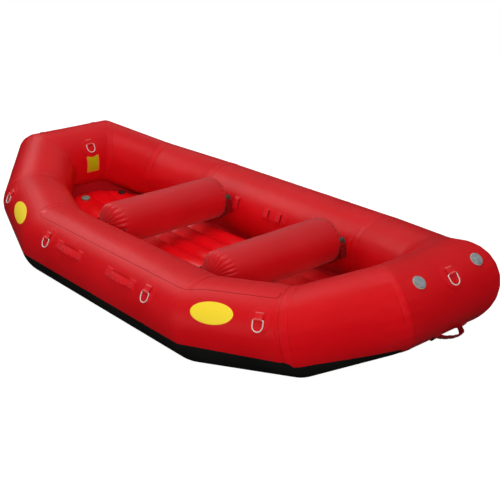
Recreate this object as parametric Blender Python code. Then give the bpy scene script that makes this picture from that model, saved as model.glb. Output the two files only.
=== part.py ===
"""Inflatable self-bailing whitewater raft.

Metres, +Z up. Origin on the ground under the centre of the raft, +X towards the bow,
+Y towards the left side. The raft is the same fore and aft and left and right.
"""

import math

import bmesh
import bpy
from mathutils import Vector

# ---------------------------------------------------------------- driving dimensions
GAP = 0.0003  # between pieces that touch
CHAFE = 0.0010  # chafe strip thickness
CHAFE_GAP = 0.0006  # its underside over the tube
TUBE_SIDES = 24  # with a flat facing straight down on the side tubes
LIFT = (0.2460 + CHAFE_GAP + CHAFE) * math.cos(math.pi / TUBE_SIDES) - 0.2460  # sets the chafe strips' undersides on the ground

# corner nodes of the tube centreline in the front left quarter, and the radius there
MID = ((0.0, 0.7321, 0.2460), 0.2460)
NODE0 = ((0.8283, 0.7321, 0.2460), 0.2460)
NODE1 = ((1.4253, 0.5540, 0.3284), 0.2376)
NODE2 = ((1.7717, 0.2581, 0.4927), 0.2305)
BOW = ((1.7717, 0.0, 0.4927), 0.2305)
BEND = 0.037  # each mitre is eased this far along both tubes

THWART_X, THWART_Z, THWART_R = 0.58, 0.345, 0.153
THWART_END = ((0.4350, 0.1530), (0.4580, 0.1480), (0.4730, 0.1360), (0.4830, 0.0950), (0.4885, 0.0))
THWART_SIDES = 20  # with a flat on top

FLOOR_PITCH = 0.150  # one lengthwise cell
FLOOR_CELLS = 6
FLOOR_TOP, FLOOR_VALLEY = 0.1350, 0.1060  # on a cell's crest and between two cells
FLOOR_BOTTOM = 0.0080  # clear of the ground
FLOOR_RISE, FLOOR_RISE_FROM = 0.098, 0.80
FLOOR_OUTLINE = ((0.45, 1.14), (0.42, 1.25), (0.375, 1.375), (0.34, 1.445), (0.30, 1.505), (0.225, 1.578), (0.15, 1.635), (0.075, 1.66), (0.0, 1.668))
FLOOR_CLEAR = 0.010  # the floor is pressed down this far below the tubes that it passes under

PATCH_R, PATCH_T = 0.0725, 0.0020
SEAT = 0.0015  # underside of a patch over the tube
WIRE_R = 0.0033
RING_HALF, RING_DROP = 0.0325, 0.0290  # half the bar, and the straight part of the D
BAR_H = 0.0090  # the bar's axis over the tube
RING_REST = 6.0  # degrees that a ring leans towards its patch
TAB_W, TAB_L = 0.0500, 0.0400

VALVE_HOLE, VALVE_BARREL, VALVE_FLANGE = 0.0220, 0.0205, 0.0380
VALVE_Y, VALVE_ANGLE = 0.228, 51.0
END_SHIFT = 0.014  # the fittings of the bow and the stern stand this far left of the centreline
HANDLE_SHIFT = 0.035

STRAP_T = 0.0025


# ---------------------------------------------------------------- small helpers
def vec(p):
    return Vector(p)


def lifted(p):
    return Vector((p[0], p[1], p[2] + LIFT))


def clear_scene():
    for obj in list(bpy.data.objects):
        bpy.data.objects.remove(obj, do_unlink=True)


MATERIALS = {}


def material(name, colour, roughness, metallic=0.0):
    if name not in MATERIALS:
        mat = bpy.data.materials.new(name)
        mat.use_nodes = True
        shader = mat.node_tree.nodes["Principled BSDF"]
        shader.inputs["Base Color"].default_value = (*colour, 1.0)
        shader.inputs["Roughness"].default_value = roughness
        shader.inputs["Metallic"].default_value = metallic
        mat.diffuse_color = (*colour, 1.0)
        MATERIALS[name] = mat
    return MATERIALS[name]


def red_fabric(name):
    return material(name, (0.55, 0.010, 0.016), 0.42)


def black_fabric(name):
    return material(name, (0.012, 0.012, 0.012), 0.6)


def new_object(name, verts, faces, mat, origin=(0, 0, 0), smooth=True, sharp=40.0):
    """A mesh object whose vertices are given in world space and whose origin is moved to origin."""
    origin = Vector(origin)
    mesh = bpy.data.meshes.new(name)
    mesh.from_pydata([Vector(v) - origin for v in verts], [], faces)
    mesh.validate()
    obj = bpy.data.objects.new(name, mesh)
    obj.location = origin
    bpy.context.scene.collection.objects.link(obj)
    mesh.materials.append(mat)
    if smooth:
        mesh.shade_smooth()
        mesh.set_sharp_from_angle(angle=math.radians(sharp))
    return obj


def helper(name, verts, faces):
    obj = new_object(name, verts, faces, material("cutter", (0.5, 0.5, 0.5), 0.5), smooth=False)
    obj.hide_render = True
    obj.display_type = "WIRE"
    return obj


def boolean(obj, other, operation):
    modifier = obj.modifiers.new(operation.title() + " " + other.name, "BOOLEAN")
    modifier.operation = operation
    modifier.solver = "EXACT"
    modifier.object = other


def facing_out(verts, faces):
    """The faces, all turned round if they enclose a negative volume."""
    total = 0.0
    for face in faces:
        a = Vector(verts[face[0]])
        for i in range(1, len(face) - 1):
            total += a.dot(Vector(verts[face[i]]).cross(Vector(verts[face[i + 1]])))
    return [tuple(reversed(f)) for f in faces] if total < 0 else faces


def loft(rings, closed=False):
    """Faces between rings of equal length, capped at both ends unless the rings close on themselves."""
    verts, faces = [], []
    n = len(rings[0])
    for ring in rings:
        verts += [Vector(p) for p in ring]
    last = len(rings) if closed else len(rings) - 1
    for r in range(last):
        a, b = r * n, ((r + 1) % len(rings)) * n
        for k in range(n):
            m = (k + 1) % n
            faces.append((a + k, a + m, b + m, b + k))
    if not closed:
        faces.append(tuple(reversed(range(n))))
        faces.append(tuple((len(rings) - 1) * n + k for k in range(n)))
    return verts, facing_out(verts, faces)


def lathe(profile, sides, centre, axis, toward):
    """A turned solid. profile lists (radius, height) round its outline; a radius of 0 is on the axis."""
    centre, axis = Vector(centre), Vector(axis).normalized()
    x = (Vector(toward) - axis * axis.dot(Vector(toward))).normalized()
    y = axis.cross(x)
    verts, rows = [], []
    for radius, height in profile:
        if radius < 1e-9:
            rows.append([len(verts)] * sides)
            verts.append(centre + axis * height)
        else:
            rows.append(list(range(len(verts), len(verts) + sides)))
            for k in range(sides):
                a = 2 * math.pi * k / sides
                verts.append(centre + axis * height + (x * math.cos(a) + y * math.sin(a)) * radius)
    faces = []
    count = len(profile)
    for r in range(count):
        lo, hi = rows[r], rows[(r + 1) % count]
        if lo[0] == lo[-1] and hi[0] == hi[-1]:
            continue
        for k in range(sides):
            m = (k + 1) % sides
            face = []
            for index in (lo[k], lo[m], hi[m], hi[k]):
                if index not in face:
                    face.append(index)
            if len(face) > 2:
                faces.append(tuple(face))
    return verts, facing_out(verts, faces)


def flip(verts, sx, sy):
    return [Vector((v[0] * sx, v[1] * sy, v[2])) for v in verts]


# ---------------------------------------------------------------- tube frames
class Segment:
    """One straight, slightly tapering tube of the front left quarter."""

    def __init__(self, start, end):
        self.start, self.end = lifted(start[0]), lifted(end[0])
        self.r0, self.r1 = start[1], end[1]
        self.u = (self.end - self.start).normalized()
        self.length = (self.end - self.start).length
        self.h = Vector((-self.u.y, self.u.x, 0)).normalized()
        self.v = self.u.cross(self.h)

    def radius(self, s):
        return self.r0 + (self.r1 - self.r0) * s / self.length

    def local(self, angle):
        """Unit vector out of the tube, angle in degrees up from horizontal and outward."""
        a = math.radians(angle)
        return self.h * math.cos(a) + self.v * math.sin(a)

    def point(self, s, angle, height=0.0):
        return self.start + self.u * s + self.local(angle) * (self.radius(s) + height)


SIDE, ANGLED1, ANGLED2, CROSS = (
    Segment(MID, NODE0),
    Segment(NODE0, NODE1),
    Segment(NODE1, NODE2),
    Segment(NODE2, BOW),
)
SEGMENTS = (SIDE, ANGLED1, ANGLED2, CROSS)


def carried_frames():
    """Cross-section axes that match from one segment to the next across each mitre."""
    frames = [(SIDE.h.copy(), SIDE.v.copy())]
    for a, b in zip(SEGMENTS, SEGMENTS[1:]):
        n = (a.u + b.u).normalized()
        h, v = frames[-1]
        frames.append((h - 2 * n * n.dot(h), v - 2 * n * n.dot(v)))
    return frames


FRAMES = carried_frames()


def direction(k, angle):
    h, v = FRAMES[k]
    a = math.radians(angle)
    return h * math.cos(a) + v * math.sin(a)


def section_point(k, s, angle, offset=0.0, mitre=None):
    """A point of the tube's skin at angle (carried frame). mitre: the segment whose joint plane tilts the section."""
    seg = SEGMENTS[k]
    e = direction(k, angle)
    r = seg.radius(s) + offset
    p = seg.start + seg.u * s + e * r
    if mitre is not None:
        other = SEGMENTS[mitre]
        n = (seg.u + other.u).normalized()
        p = p - seg.u * (r * n.dot(e) / n.dot(seg.u))
    return p


# stations along a quarter: (segment, distance, segment that shares the mitre)
STATIONS = (
    (0, SIDE.length - BEND, 1),
    (1, BEND, 0),
    (1, ANGLED1.length - BEND, 2),
    (2, BEND, 1),
    (2, ANGLED2.length - BEND, 3),
    (3, BEND, 2),
)


def chamber(name, sx, sy, valve_cutter):
    """One air chamber at pressure: a quarter of the ring, flat where it meets the next ones."""
    def ring(k, s, mitre=None):
        return [section_point(k, s, 360.0 * (i + 0.5) / TUBE_SIDES, 0.0, mitre) for i in range(TUBE_SIDES)]

    rings = [ring(0, GAP / 2)] + [ring(*station) for station in STATIONS] + [ring(3, CROSS.length - GAP / 2)]
    verts, faces = loft(rings)
    verts = flip(verts, sx, sy)
    obj = new_object(name, verts, facing_out(verts, faces), red_fabric("tube_red"))
    boolean(obj, valve_cutter, "DIFFERENCE")
    return obj


# ---------------------------------------------------------------- things laid on a tube
def on_tube(seg, s0, angle0, a, b, height):
    """A point laid on the tube: a metres along it and b metres up its girth from (s0, angle0)."""
    s = s0 + a
    angle = angle0 + math.degrees(b / seg.radius(s0))
    return seg.point(s, angle, height)


def round_patch(seg, s0, angle0, radius, rings=2, sides=12):
    """A disc of fabric that follows the tube."""
    verts, faces = [], []
    tops = []
    for height in (SEAT + PATCH_T, SEAT):
        rows = [[len(verts)]]
        verts.append(on_tube(seg, s0, angle0, 0, 0, height))
        for r in range(1, rings + 1):
            rho = radius * r / rings
            rows.append(list(range(len(verts), len(verts) + sides)))
            for k in range(sides):
                t = 2 * math.pi * k / sides
                verts.append(on_tube(seg, s0, angle0, rho * math.cos(t), rho * math.sin(t), height))
        tops.append(rows)
    for level, rows in enumerate(tops):
        for k in range(sides):
            m = (k + 1) % sides
            face = (rows[0][0], rows[1][k], rows[1][m])
            faces.append(face if level == 0 else tuple(reversed(face)))
            for r in range(1, rings):
                face = (rows[r][k], rows[r + 1][k], rows[r + 1][m], rows[r][m])
                faces.append(face if level == 0 else tuple(reversed(face)))
    for k in range(sides):
        m = (k + 1) % sides
        faces.append((tops[0][rings][m], tops[0][rings][k], tops[1][rings][k], tops[1][rings][m]))
    return verts, facing_out(verts, faces)


def tab_solid(seg, s0, angle_bar, away):
    """Webbing looped round a ring's bar and laid back over the patch. away is +1 or -1 up the girth."""
    origin = seg.point(s0, angle_bar)
    up = seg.local(angle_bar)
    girth = seg.u.cross(up).normalized()
    if girth.dot(seg.v * math.cos(math.radians(angle_bar)) - seg.h * math.sin(math.radians(angle_bar))) < 0:
        girth = -girth
    girth = girth * away
    hole, wall = WIRE_R + 0.0012, 0.0020
    n = 8
    start = -50.0
    inner, outer = [], []
    for k in range(n):
        t = math.radians(start + 360.0 * k / n)
        c, s = math.cos(t), math.sin(t)
        inner.append((hole * c, BAR_H + hole * s))
        outer.append(((hole + wall) * c, BAR_H + (hole + wall) * s))
    # the tail leaves the loop between outer[0] (low, on the tail's side) and outer[3] (high, same side)
    radius = seg.radius(s0)

    def laid(dist, height):
        angle = dist / radius
        return (radius + height) * math.sin(angle), (radius + height) * math.cos(angle) - radius

    tail_top = [laid(TAB_L * f, SEAT + PATCH_T + 0.0028) for f in (0.45, 0.72, 1.0)]
    tail_low = [laid(TAB_L * f, SEAT + 0.0008) for f in (1.0, 0.72, 0.45)]
    tail = tail_top + tail_low
    first, last = 0, 2
    loop_in = inner
    loop_out = outer
    section = loop_in + loop_out + tail
    faces2d = []
    for k in range(n):
        m = (k + 1) % n
        faces2d.append((k, m, n + m, n + k))
    # tail polygon: outer[first..last] then the top, then the low edge back
    tail_ring = [n + k for k in range(first, last + 1)] + [2 * n + i for i in range(len(tail))]
    faces2d.append(tuple(tail_ring))
    verts = []
    for side in (-TAB_W / 2, TAB_W / 2):
        for b, hgt in section:
            verts.append(origin + seg.u * side + girth * b + up * hgt)
    count = len(section)
    faces = []
    for f in faces2d:
        faces.append(f)
        faces.append(tuple(reversed([i + count for i in f])))
    edges = {}
    for f in faces2d:
        for i in range(len(f)):
            a, b = f[i], f[(i + 1) % len(f)]
            edges[(a, b)] = True
    for a, b in list(edges):
        if (b, a) not in edges:
            faces.append((b, a, a + count, b + count))
    return verts, facing_out(verts, faces)


def ring_solid(seg, s0, angle_bar, away, lean):
    """A D-ring hanging from its tab, with its bar on the hinge line."""
    origin = seg.point(s0, angle_bar, BAR_H)
    up = seg.local(angle_bar)
    girth = seg.v * math.cos(math.radians(angle_bar)) - seg.h * math.sin(math.radians(angle_bar))
    down = -girth * away
    a = math.radians(lean)
    plane = down * math.cos(a) - up * math.sin(a)
    path = []
    corner = 0.006
    for i in range(2):
        t = math.radians(22.5 + 45.0 * i)
        path.append((-RING_HALF + corner * (1 - math.sin(t)), corner * (1 - math.cos(t))))
    path.reverse()
    left = path[:]
    steps = 7
    arc = []
    for i in range(steps + 1):
        t = math.pi * i / steps
        arc.append((-RING_HALF * math.cos(t), RING_DROP + RING_HALF * math.sin(t)))
    right = [(-x, d) for x, d in left[::-1]]
    # from the bar's left end, round the corner, down the arc and back up to the bar's right end
    outline = left[::-1] if left[0][1] > left[-1][1] else left
    outline = sorted(left, key=lambda p: p[1]) + arc + sorted(right, key=lambda p: -p[1])
    points = [origin + seg.u * x + plane * d for x, d in outline]
    normal = seg.u.cross(plane).normalized()
    rings = []
    total = len(points)
    sides = 6
    for i in range(total):
        before = (points[i] - points[i - 1]).normalized()
        after = (points[(i + 1) % total] - points[i]).normalized()
        tangent = (before + after).normalized()
        across = tangent.cross(normal).normalized()
        stretch = 1.0 / max(0.7, tangent.dot(after))
        ring = []
        for k in range(sides):
            t = 2 * math.pi * (k + 0.5) / sides
            ring.append(points[i] + across * (WIRE_R * stretch * math.cos(t)) + normal * (WIRE_R * math.sin(t)))
        rings.append(ring)
    return loft(rings, closed=True), origin


def anchor(name, seg, s0, angle_patch, angle_bar, sx, sy, away=1):
    """A D-ring with its patch. away = +1: the tab lies up the girth from the bar and the ring hangs down."""
    verts, faces = round_patch(seg, s0, angle_patch, PATCH_R)
    verts = flip(verts, sx, sy)
    patch = new_object(name + "_patch", verts, facing_out(verts, faces), red_fabric("patch_red"))
    verts, faces = tab_solid(seg, s0, angle_bar, away)
    verts = flip(verts, sx, sy)
    boolean(patch, helper("_tab_" + name, verts, facing_out(verts, faces)), "UNION")
    (verts, faces), origin = ring_solid(seg, s0, angle_bar, away, RING_REST)
    verts = flip(verts, sx, sy)
    origin = Vector((origin.x * sx, origin.y * sy, origin.z))
    new_object(name + "_ring", verts, facing_out(verts, faces),
               material("stainless_steel", (0.62, 0.62, 0.62), 0.25, 1.0), origin)


def handle_solid(seg, s0, angle0, stations, girth_steps=2):
    """Webbing laid on the tube. stations: (a, low edge b, high edge b, underside, topside) along the tube."""
    rings = []
    for a, b0, b1, low, high in stations:
        ring = [on_tube(seg, s0, angle0, a, b0 + (b1 - b0) * i / girth_steps, high) for i in range(girth_steps + 1)]
        ring += [on_tube(seg, s0, angle0, a, b1 + (b0 - b1) * i / girth_steps, low) for i in range(girth_steps + 1)]
        rings.append(ring)
    return loft(rings)


def handle_stations(length, pad, pad_half, strap_half, rise, steps=8, skew=1.0):
    """A strap that lies flat on a pad at each end and arches clear of the tube between them. skew under 1 moves the top of the arch back."""
    half = length / 2
    foot = SEAT + PATCH_T
    rows = [(-half, -pad_half, pad_half, SEAT, foot)]
    inner = half - pad
    rows.append((-inner - 0.016, -pad_half, pad_half, SEAT, foot + 0.0008))
    rows.append((-inner, -strap_half, strap_half, SEAT, foot + STRAP_T))
    for i in range(1, steps):
        f = i / steps
        a = -inner + 2 * inner * f
        bump = rise * math.sin(math.pi * f ** skew) ** 0.6
        low = max(SEAT, foot + bump - STRAP_T)
        rows.append((a, -strap_half, strap_half, low, low + STRAP_T + 0.0005))
    rows.append((inner, -strap_half, strap_half, SEAT, foot + STRAP_T))
    rows.append((inner + 0.016, -pad_half, pad_half, SEAT, foot + 0.0008))
    rows.append((half, -pad_half, pad_half, SEAT, foot))
    return rows


# ---------------------------------------------------------------- build
clear_scene()

QUARTERS = (("front_left", 1, 1), ("front_right", 1, -1), ("rear_left", -1, 1), ("rear_right", -1, -1))

# valves stand on the cross tubes
valve_axis = CROSS.local(VALVE_ANGLE)


def valve_place(sx, sy):
    """Where a valve's axis meets the tube."""
    y = VALVE_Y * sy + END_SHIFT
    p = CROSS.point(CROSS.start.y - abs(y), VALVE_ANGLE)
    return Vector((p.x * sx, y, p.z))


BODY_PROFILE = (
    (0.0135, 0.0046), (0.0362, 0.0046), (VALVE_FLANGE, 0.0032), (VALVE_FLANGE, 0.0006), (VALVE_BARREL, 0.0006),
    (VALVE_BARREL, -0.0360), (0.0150, -0.0360), (0.0150, -0.0220), (0.0100, -0.0220), (0.0100, -0.0190), (0.0135, -0.0190),
)
CAP_PROFILE = ((0.0, 0.0110), (0.0300, 0.0108), (0.0345, 0.0085), (0.0345, 0.0049), (0.0305, 0.0049), (0.0305, 0.0072), (0.0, 0.0072))
PLUNGER_PROFILE = ((0.0, 0.0010), (0.0055, 0.0010), (0.0055, -0.0030), (0.0030, -0.0040), (0.0030, -0.0223), (0.0125, -0.0223), (0.0125, -0.0255), (0.0, -0.0255))

for quarter, sx, sy in QUARTERS:
    seat = valve_place(sx, sy)
    axis = Vector((valve_axis.x * sx, valve_axis.y * sy, valve_axis.z))
    along = Vector((0, 1, 0))
    verts, faces = lathe(((0.0, 0.03), (VALVE_HOLE, 0.03), (VALVE_HOLE, -0.042), (0.0, -0.042)), 12, seat, axis, along)
    cutter = helper("_valve_hole_" + quarter, verts, faces)
    chamber(quarter + "_chamber", sx, sy, cutter)
    grey = material("valve_grey", (0.26, 0.27, 0.29), 0.45)
    verts, faces = lathe(BODY_PROFILE, 12, seat, axis, along)
    new_object(quarter + "_valve_body", verts, faces, grey, seat)
    verts, faces = lathe(CAP_PROFILE, 14, seat, axis, along)
    new_object(quarter + "_valve_cap", verts, faces, grey, seat)
    verts, faces = lathe(PLUNGER_PROFILE, 8, seat, axis, along)
    new_object(quarter + "_valve_plunger", verts, faces, material("plunger_dark", (0.06, 0.06, 0.065), 0.5), seat)

# thwarts, each with its valve in the left end
for name, x in (("front_thwart", THWART_X), ("rear_thwart", -THWART_X)):
    centre = Vector((x, 0, THWART_Z + LIFT))
    ends = THWART_END
    outer = [(r, y) for y, r in reversed(ends)]
    outer = outer + [(r, -y) for y, r in ends]
    profile = [(r, y) for r, y in outer]
    half_step = math.pi / THWART_SIDES
    flat_up = (math.cos(half_step), 0, math.sin(half_step))
    verts, faces = lathe(profile, THWART_SIDES, centre, (0, 1, 0), flat_up)
    shell = new_object(name, verts, faces, red_fabric("thwart_red"))
    lean, rise = math.radians(50.0), math.radians(12.0)
    axis = Vector((math.cos(lean) * math.cos(rise), math.sin(lean), math.cos(lean) * math.sin(rise)))
    seat = centre + Vector((0.1380 * math.cos(rise), 0.4690, 0.1380 * math.sin(rise)))
    verts, faces = lathe(((0.0, 0.03), (0.0180, 0.03), (0.0180, -0.034), (0.0, -0.034)), 12, seat, axis, (0, 0, 1))
    boolean(shell, helper("_valve_hole_" + name, verts, faces), "DIFFERENCE")
    profile = ((0.0, 0.0170), (0.0225, 0.0165), (0.0260, 0.0140), (0.0260, 0.0080), (0.0165, 0.0080), (0.0165, -0.0300), (0.0, -0.0300))
    verts, faces = lathe(profile, 14, seat, axis, (0, 0, 1))
    new_object(name + "_valve", verts, faces, material("valve_grey", (0.26, 0.27, 0.29), 0.45), seat)


# inflatable floor
def floor_rise(x):
    t = max(0.0, abs(x) - FLOOR_RISE_FROM) / (1.66 - FLOOR_RISE_FROM)
    return FLOOR_RISE * t * t


def floor_reach(y):
    """How far the floor runs fore and aft at this distance from the centreline."""
    y = abs(y)
    for (y1, x1), (y0, x0) in zip(FLOOR_OUTLINE, FLOOR_OUTLINE[1:]):
        if y0 <= y <= y1:
            return x0 + (x1 - x0) * (y - y0) / (y1 - y0)
    return FLOOR_OUTLINE[0][1]


def floor_rows(reach):
    """x of each grid row for a column that reaches this far."""
    rows = [-FLOOR_RISE_FROM, FLOOR_RISE_FROM]
    for f in (0.30, 0.60, 0.85, 0.96, 1.0):
        x = FLOOR_RISE_FROM + (reach - FLOOR_RISE_FROM) * f
        rows = [-x] + rows + [x]
    return rows


def floor_bulge(y):
    """1 on a cell's crest, 0 between two cells, on an arc of a circle."""
    sag, half_cell = FLOOR_TOP - FLOOR_VALLEY, FLOOR_PITCH / 2
    across = (y + FLOOR_CELLS * FLOOR_PITCH / 2) % FLOOR_PITCH - half_cell
    radius = (half_cell ** 2 + sag ** 2) / (2 * sag)
    return (math.sqrt(radius ** 2 - across ** 2) - (radius - sag)) / sag


def tube_room(p):
    """The distance from p to the nearest tube's skin."""
    rooms = []
    for seg in SEGMENTS:
        along = min(max((p - seg.start).dot(seg.u), 0.0), seg.length)
        rooms.append((p - seg.start - seg.u * along).length - seg.radius(along))
    return min(rooms)


def floor_slab(columns):
    """The floor, as a closed solid over a list of y values: arched cells side by side, thin at its rim."""
    middle = (FLOOR_VALLEY + FLOOR_BOTTOM) / 2
    tops, bottoms = [], []
    for y in columns:
        top, bottom = [], []
        rows = floor_rows(floor_reach(y))
        for j, x in enumerate(rows):
            crest = floor_bulge(y)
            edge = {0: 0.30, 1: 0.72}.get(min(j, len(rows) - 1 - j), 1.0)
            rim = 0.55 if y in (columns[0], columns[-1]) else 1.0
            base = floor_rise(x) + LIFT
            up = (FLOOR_VALLEY + (FLOOR_TOP - FLOOR_VALLEY) * crest - middle) * edge * rim
            down = (FLOOR_BOTTOM + 0.016 * (1 - crest) - middle) * edge * rim
            point = Vector((abs(x), abs(y), base + middle + up))
            while tube_room(point) < FLOOR_CLEAR:
                point.z -= 0.002
            top.append(Vector((x, y, point.z)))
            bottom.append(Vector((x, y, base + middle + down)))
        tops.append(top)
        bottoms.append(bottom)
    cols, rows = len(columns), len(tops[0])
    verts = [p for col in tops for p in col] + [p for col in bottoms for p in col]
    off = cols * rows
    faces = []
    for c in range(cols - 1):
        for r in range(rows - 1):
            a, b = c * rows + r, (c + 1) * rows + r
            faces.append((a, b, b + 1, a + 1))
            faces.append((off + a, off + a + 1, off + b + 1, off + b))
    for c in range(cols - 1):
        a, b = c * rows, (c + 1) * rows
        faces.append((a, off + a, off + b, b))
        a, b = a + rows - 1, b + rows - 1
        faces.append((a, b, off + b, off + a))
    for r in range(rows - 1):
        a = r
        faces.append((a, a + 1, off + a + 1, off + a))
        a = (cols - 1) * rows + r
        faces.append((a, off + a, off + a + 1, a + 1))
    return verts, facing_out(verts, faces)


half = FLOOR_CELLS * FLOOR_PITCH / 2
steps = 6
verts, faces = floor_slab([-half + FLOOR_PITCH * i / steps for i in range(FLOOR_CELLS * steps + 1)])
floor_obj = new_object("floor", verts, faces, red_fabric("floor_red"), sharp=70.0)

FLOOR_VALVE = (-1.545, -0.075)
RELIEF_VALVE = (-1.500, 0.225)


def floor_seat(x, y):
    """Point and normal on the floor's top at a cell's crest."""
    eps = 0.01
    z = floor_rise(x) + FLOOR_TOP + LIFT
    slope = (floor_rise(x + eps) - floor_rise(x - eps)) / (2 * eps)
    return Vector((x, y, z)), Vector((-slope, 0, 1)).normalized()


for name, (x, y), flange, colour in (
    ("floor_valve", FLOOR_VALVE, 0.0330, (0.17, 0.18, 0.13)),
    ("floor_relief_valve", RELIEF_VALVE, 0.0260, (0.02, 0.02, 0.022)),
):
    seat, axis = floor_seat(x, y)
    verts, faces = lathe(((0.0, 0.03), (0.0180, 0.03), (0.0180, -0.034), (0.0, -0.034)), 12, seat, axis, (0, 1, 0))
    boolean(floor_obj, helper("_hole_" + name, verts, faces), "DIFFERENCE")
    profile = ((0.0, 0.0140), (flange * 0.85, 0.0135), (flange, 0.0110), (flange, 0.0060), (0.0165, 0.0060), (0.0165, -0.0300), (0.0, -0.0300))
    verts, faces = lathe(profile, 14, seat, axis, (0, 1, 0))
    new_object(name, verts, faces, material(name + "_plastic", colour, 0.5), seat)

# chafe strips under each side, from end to end: a sleeve round the tubes, kept where a block meets it
CHAFE_INNER = 0.105  # the strip's inner edge, in plan, inside the tube's centreline
CHAFE_EDGE = ((SIDE, SIDE.length, 0.197), (ANGLED1, ANGLED1.length, 0.252), (ANGLED2, 0.25, 0.290), (ANGLED2, ANGLED2.length, 0.334))


def sleeve(offset):
    half_rings = [
        [section_point(k, s, 360.0 * (i + 0.5) / TUBE_SIDES, offset, m) for i in range(TUBE_SIDES)] for k, s, m in STATIONS[:5]
    ]
    return [flip(ring, -1, 1) for ring in reversed(half_rings)] + half_rings


def open_sleeve(low, high):
    """A tube wall between two offsets of the raft's tubes."""
    outer, inner = sleeve(high), sleeve(low)
    n, count = TUBE_SIDES, len(outer)
    verts = [p for ring in outer for p in ring] + [p for ring in inner for p in ring]
    faces = []
    for r in range(count - 1):
        for i in range(n):
            m = (i + 1) % n
            a, b = r * n, (r + 1) * n
            faces.append((a + i, a + m, b + m, b + i))
            a, b = a + count * n, b + count * n
            faces.append((a + i, b + i, b + m, a + m))
    for r, turned in ((0, False), (count - 1, True)):
        for i in range(n):
            m = (i + 1) % n
            a, b = r * n, (count + r) * n
            face = (a + i, b + i, b + m, a + m)
            faces.append(tuple(reversed(face)) if turned else face)
    return verts, facing_out(verts, faces)


def chafe_block():
    ribs = []
    for seg, s, top in CHAFE_EDGE:
        p = seg.start + seg.u * s
        index = SEGMENTS.index(seg)
        out = seg.h.copy()
        if s == seg.length and index + 1 < len(SEGMENTS):
            out = (seg.h + SEGMENTS[index + 1].h).normalized()
        near, far = p - out * CHAFE_INNER, p + out * 0.45
        ribs.append([Vector((near.x, near.y, -0.1)), Vector((far.x, far.y, -0.1)),
                     Vector((far.x, far.y, top + LIFT)), Vector((near.x, near.y, top + LIFT))])
    return loft([flip(rib, -1, 1) for rib in reversed(ribs)] + ribs)


for name, sy in (("left_chafe_strip", 1), ("right_chafe_strip", -1)):
    verts, faces = open_sleeve(CHAFE_GAP, CHAFE_GAP + CHAFE)
    verts = flip(verts, 1, sy)
    strip = new_object(name, verts, facing_out(verts, faces), black_fabric("chafe_black"))
    verts, faces = chafe_block()
    verts = flip(verts, 1, sy)
    boolean(strip, helper("_block_" + name, verts, facing_out(verts, faces)), "INTERSECT")

# D-rings on the sides, on the angled tubes, at both ends and inside the stern
for quarter, sx, sy in QUARTERS:
    anchor(quarter + "_side", SIDE, 0.565, 35.0, 33.0, sx, sy)
    anchor(quarter + "_corner", ANGLED1, 0.512, 33.0, 33.0, sx, sy)
MIDDLE = CROSS.length - END_SHIFT
anchor("bow", CROSS, MIDDLE, 44.0, 45.0, 1, 1)
anchor("stern", CROSS, MIDDLE, 44.0, 45.0, -1, 1)
anchor("stern_inner", CROSS, MIDDLE, 153.0, 147.0, -1, 1, away=-1)

# carry handles on the outer sides
for quarter, sx, sy in QUARTERS:
    verts, faces = handle_solid(SIDE, 0.290, 32.0, handle_stations(0.310, 0.062, 0.036, 0.020, 0.030))
    verts = flip(verts, sx, sy)
    new_object(quarter + "_side_handle", verts, facing_out(verts, faces), red_fabric("webbing_red"))

# webbing loops inside the middle bay, two on one base, each open along the tube for a lashing strap
LOOP_AT, LOOP_ANGLE = 0.030, 158.0
LOOP_ENDS = ((-0.110, -0.066), (0.016, 0.060))


def across_block(seg, s0, angle0, ends, half_width, low, high):
    """A straight box over the tube, in the frame of the point at (s0, angle0)."""
    origin, up = seg.point(s0, angle0), seg.local(angle0)
    girth = seg.u.cross(up).normalized()
    rings = []
    for a in ends:
        rings.append([origin + seg.u * a + girth * b + up * h
                      for b, h in ((-half_width, low), (half_width, low), (half_width, high), (-half_width, high))])
    return loft(rings)


for name, sy in (("left_middle_loops", 1), ("right_middle_loops", -1)):
    base = [(a, -0.038, 0.038, SEAT, SEAT + PATCH_T) for a in (-0.120, -0.060, 0.0, 0.060, 0.120)]
    verts, faces = handle_solid(SIDE, LOOP_AT, LOOP_ANGLE, base, girth_steps=4)
    verts = flip(verts, 1, sy)
    loops = new_object(name, verts, facing_out(verts, faces), red_fabric("webbing_red"))
    for index, (a0, a1) in enumerate(LOOP_ENDS):
        rows = [(a0, -0.033, 0.033, SEAT + 0.001, 0.0125), (a0 + 0.004, -0.033, 0.033, SEAT + 0.001, 0.0150),
                (a1 - 0.004, -0.033, 0.033, SEAT + 0.001, 0.0150), (a1, -0.033, 0.033, SEAT + 0.001, 0.0135)]
        verts, faces = handle_solid(SIDE, LOOP_AT, LOOP_ANGLE, rows, girth_steps=4)
        verts = flip(verts, 1, sy)
        boolean(loops, helper("_loop_%s_%d" % (name, index), verts, facing_out(verts, faces)), "UNION")
    for index, (a0, a1) in enumerate(LOOP_ENDS):
        verts, faces = across_block(SIDE, LOOP_AT, LOOP_ANGLE, (a0 - 0.003, a1 + 0.003), 0.026, 0.0046, 0.0108)
        verts = flip(verts, 1, sy)
        boolean(loops, helper("_slot_%s_%d" % (name, index), verts, facing_out(verts, faces)), "DIFFERENCE")

# webbing handles under the bow and the stern, whose loops hang open towards the left
for name, sx in (("bow_handle", 1), ("stern_handle", -1)):
    verts, faces = handle_solid(CROSS, CROSS.length - HANDLE_SHIFT, -46.0, handle_stations(0.260, 0.045, 0.030, 0.019, 0.042, steps=10, skew=0.46))
    verts = flip(verts, sx, 1)
    new_object(name, verts, facing_out(verts, faces), red_fabric("webbing_red"))

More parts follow.
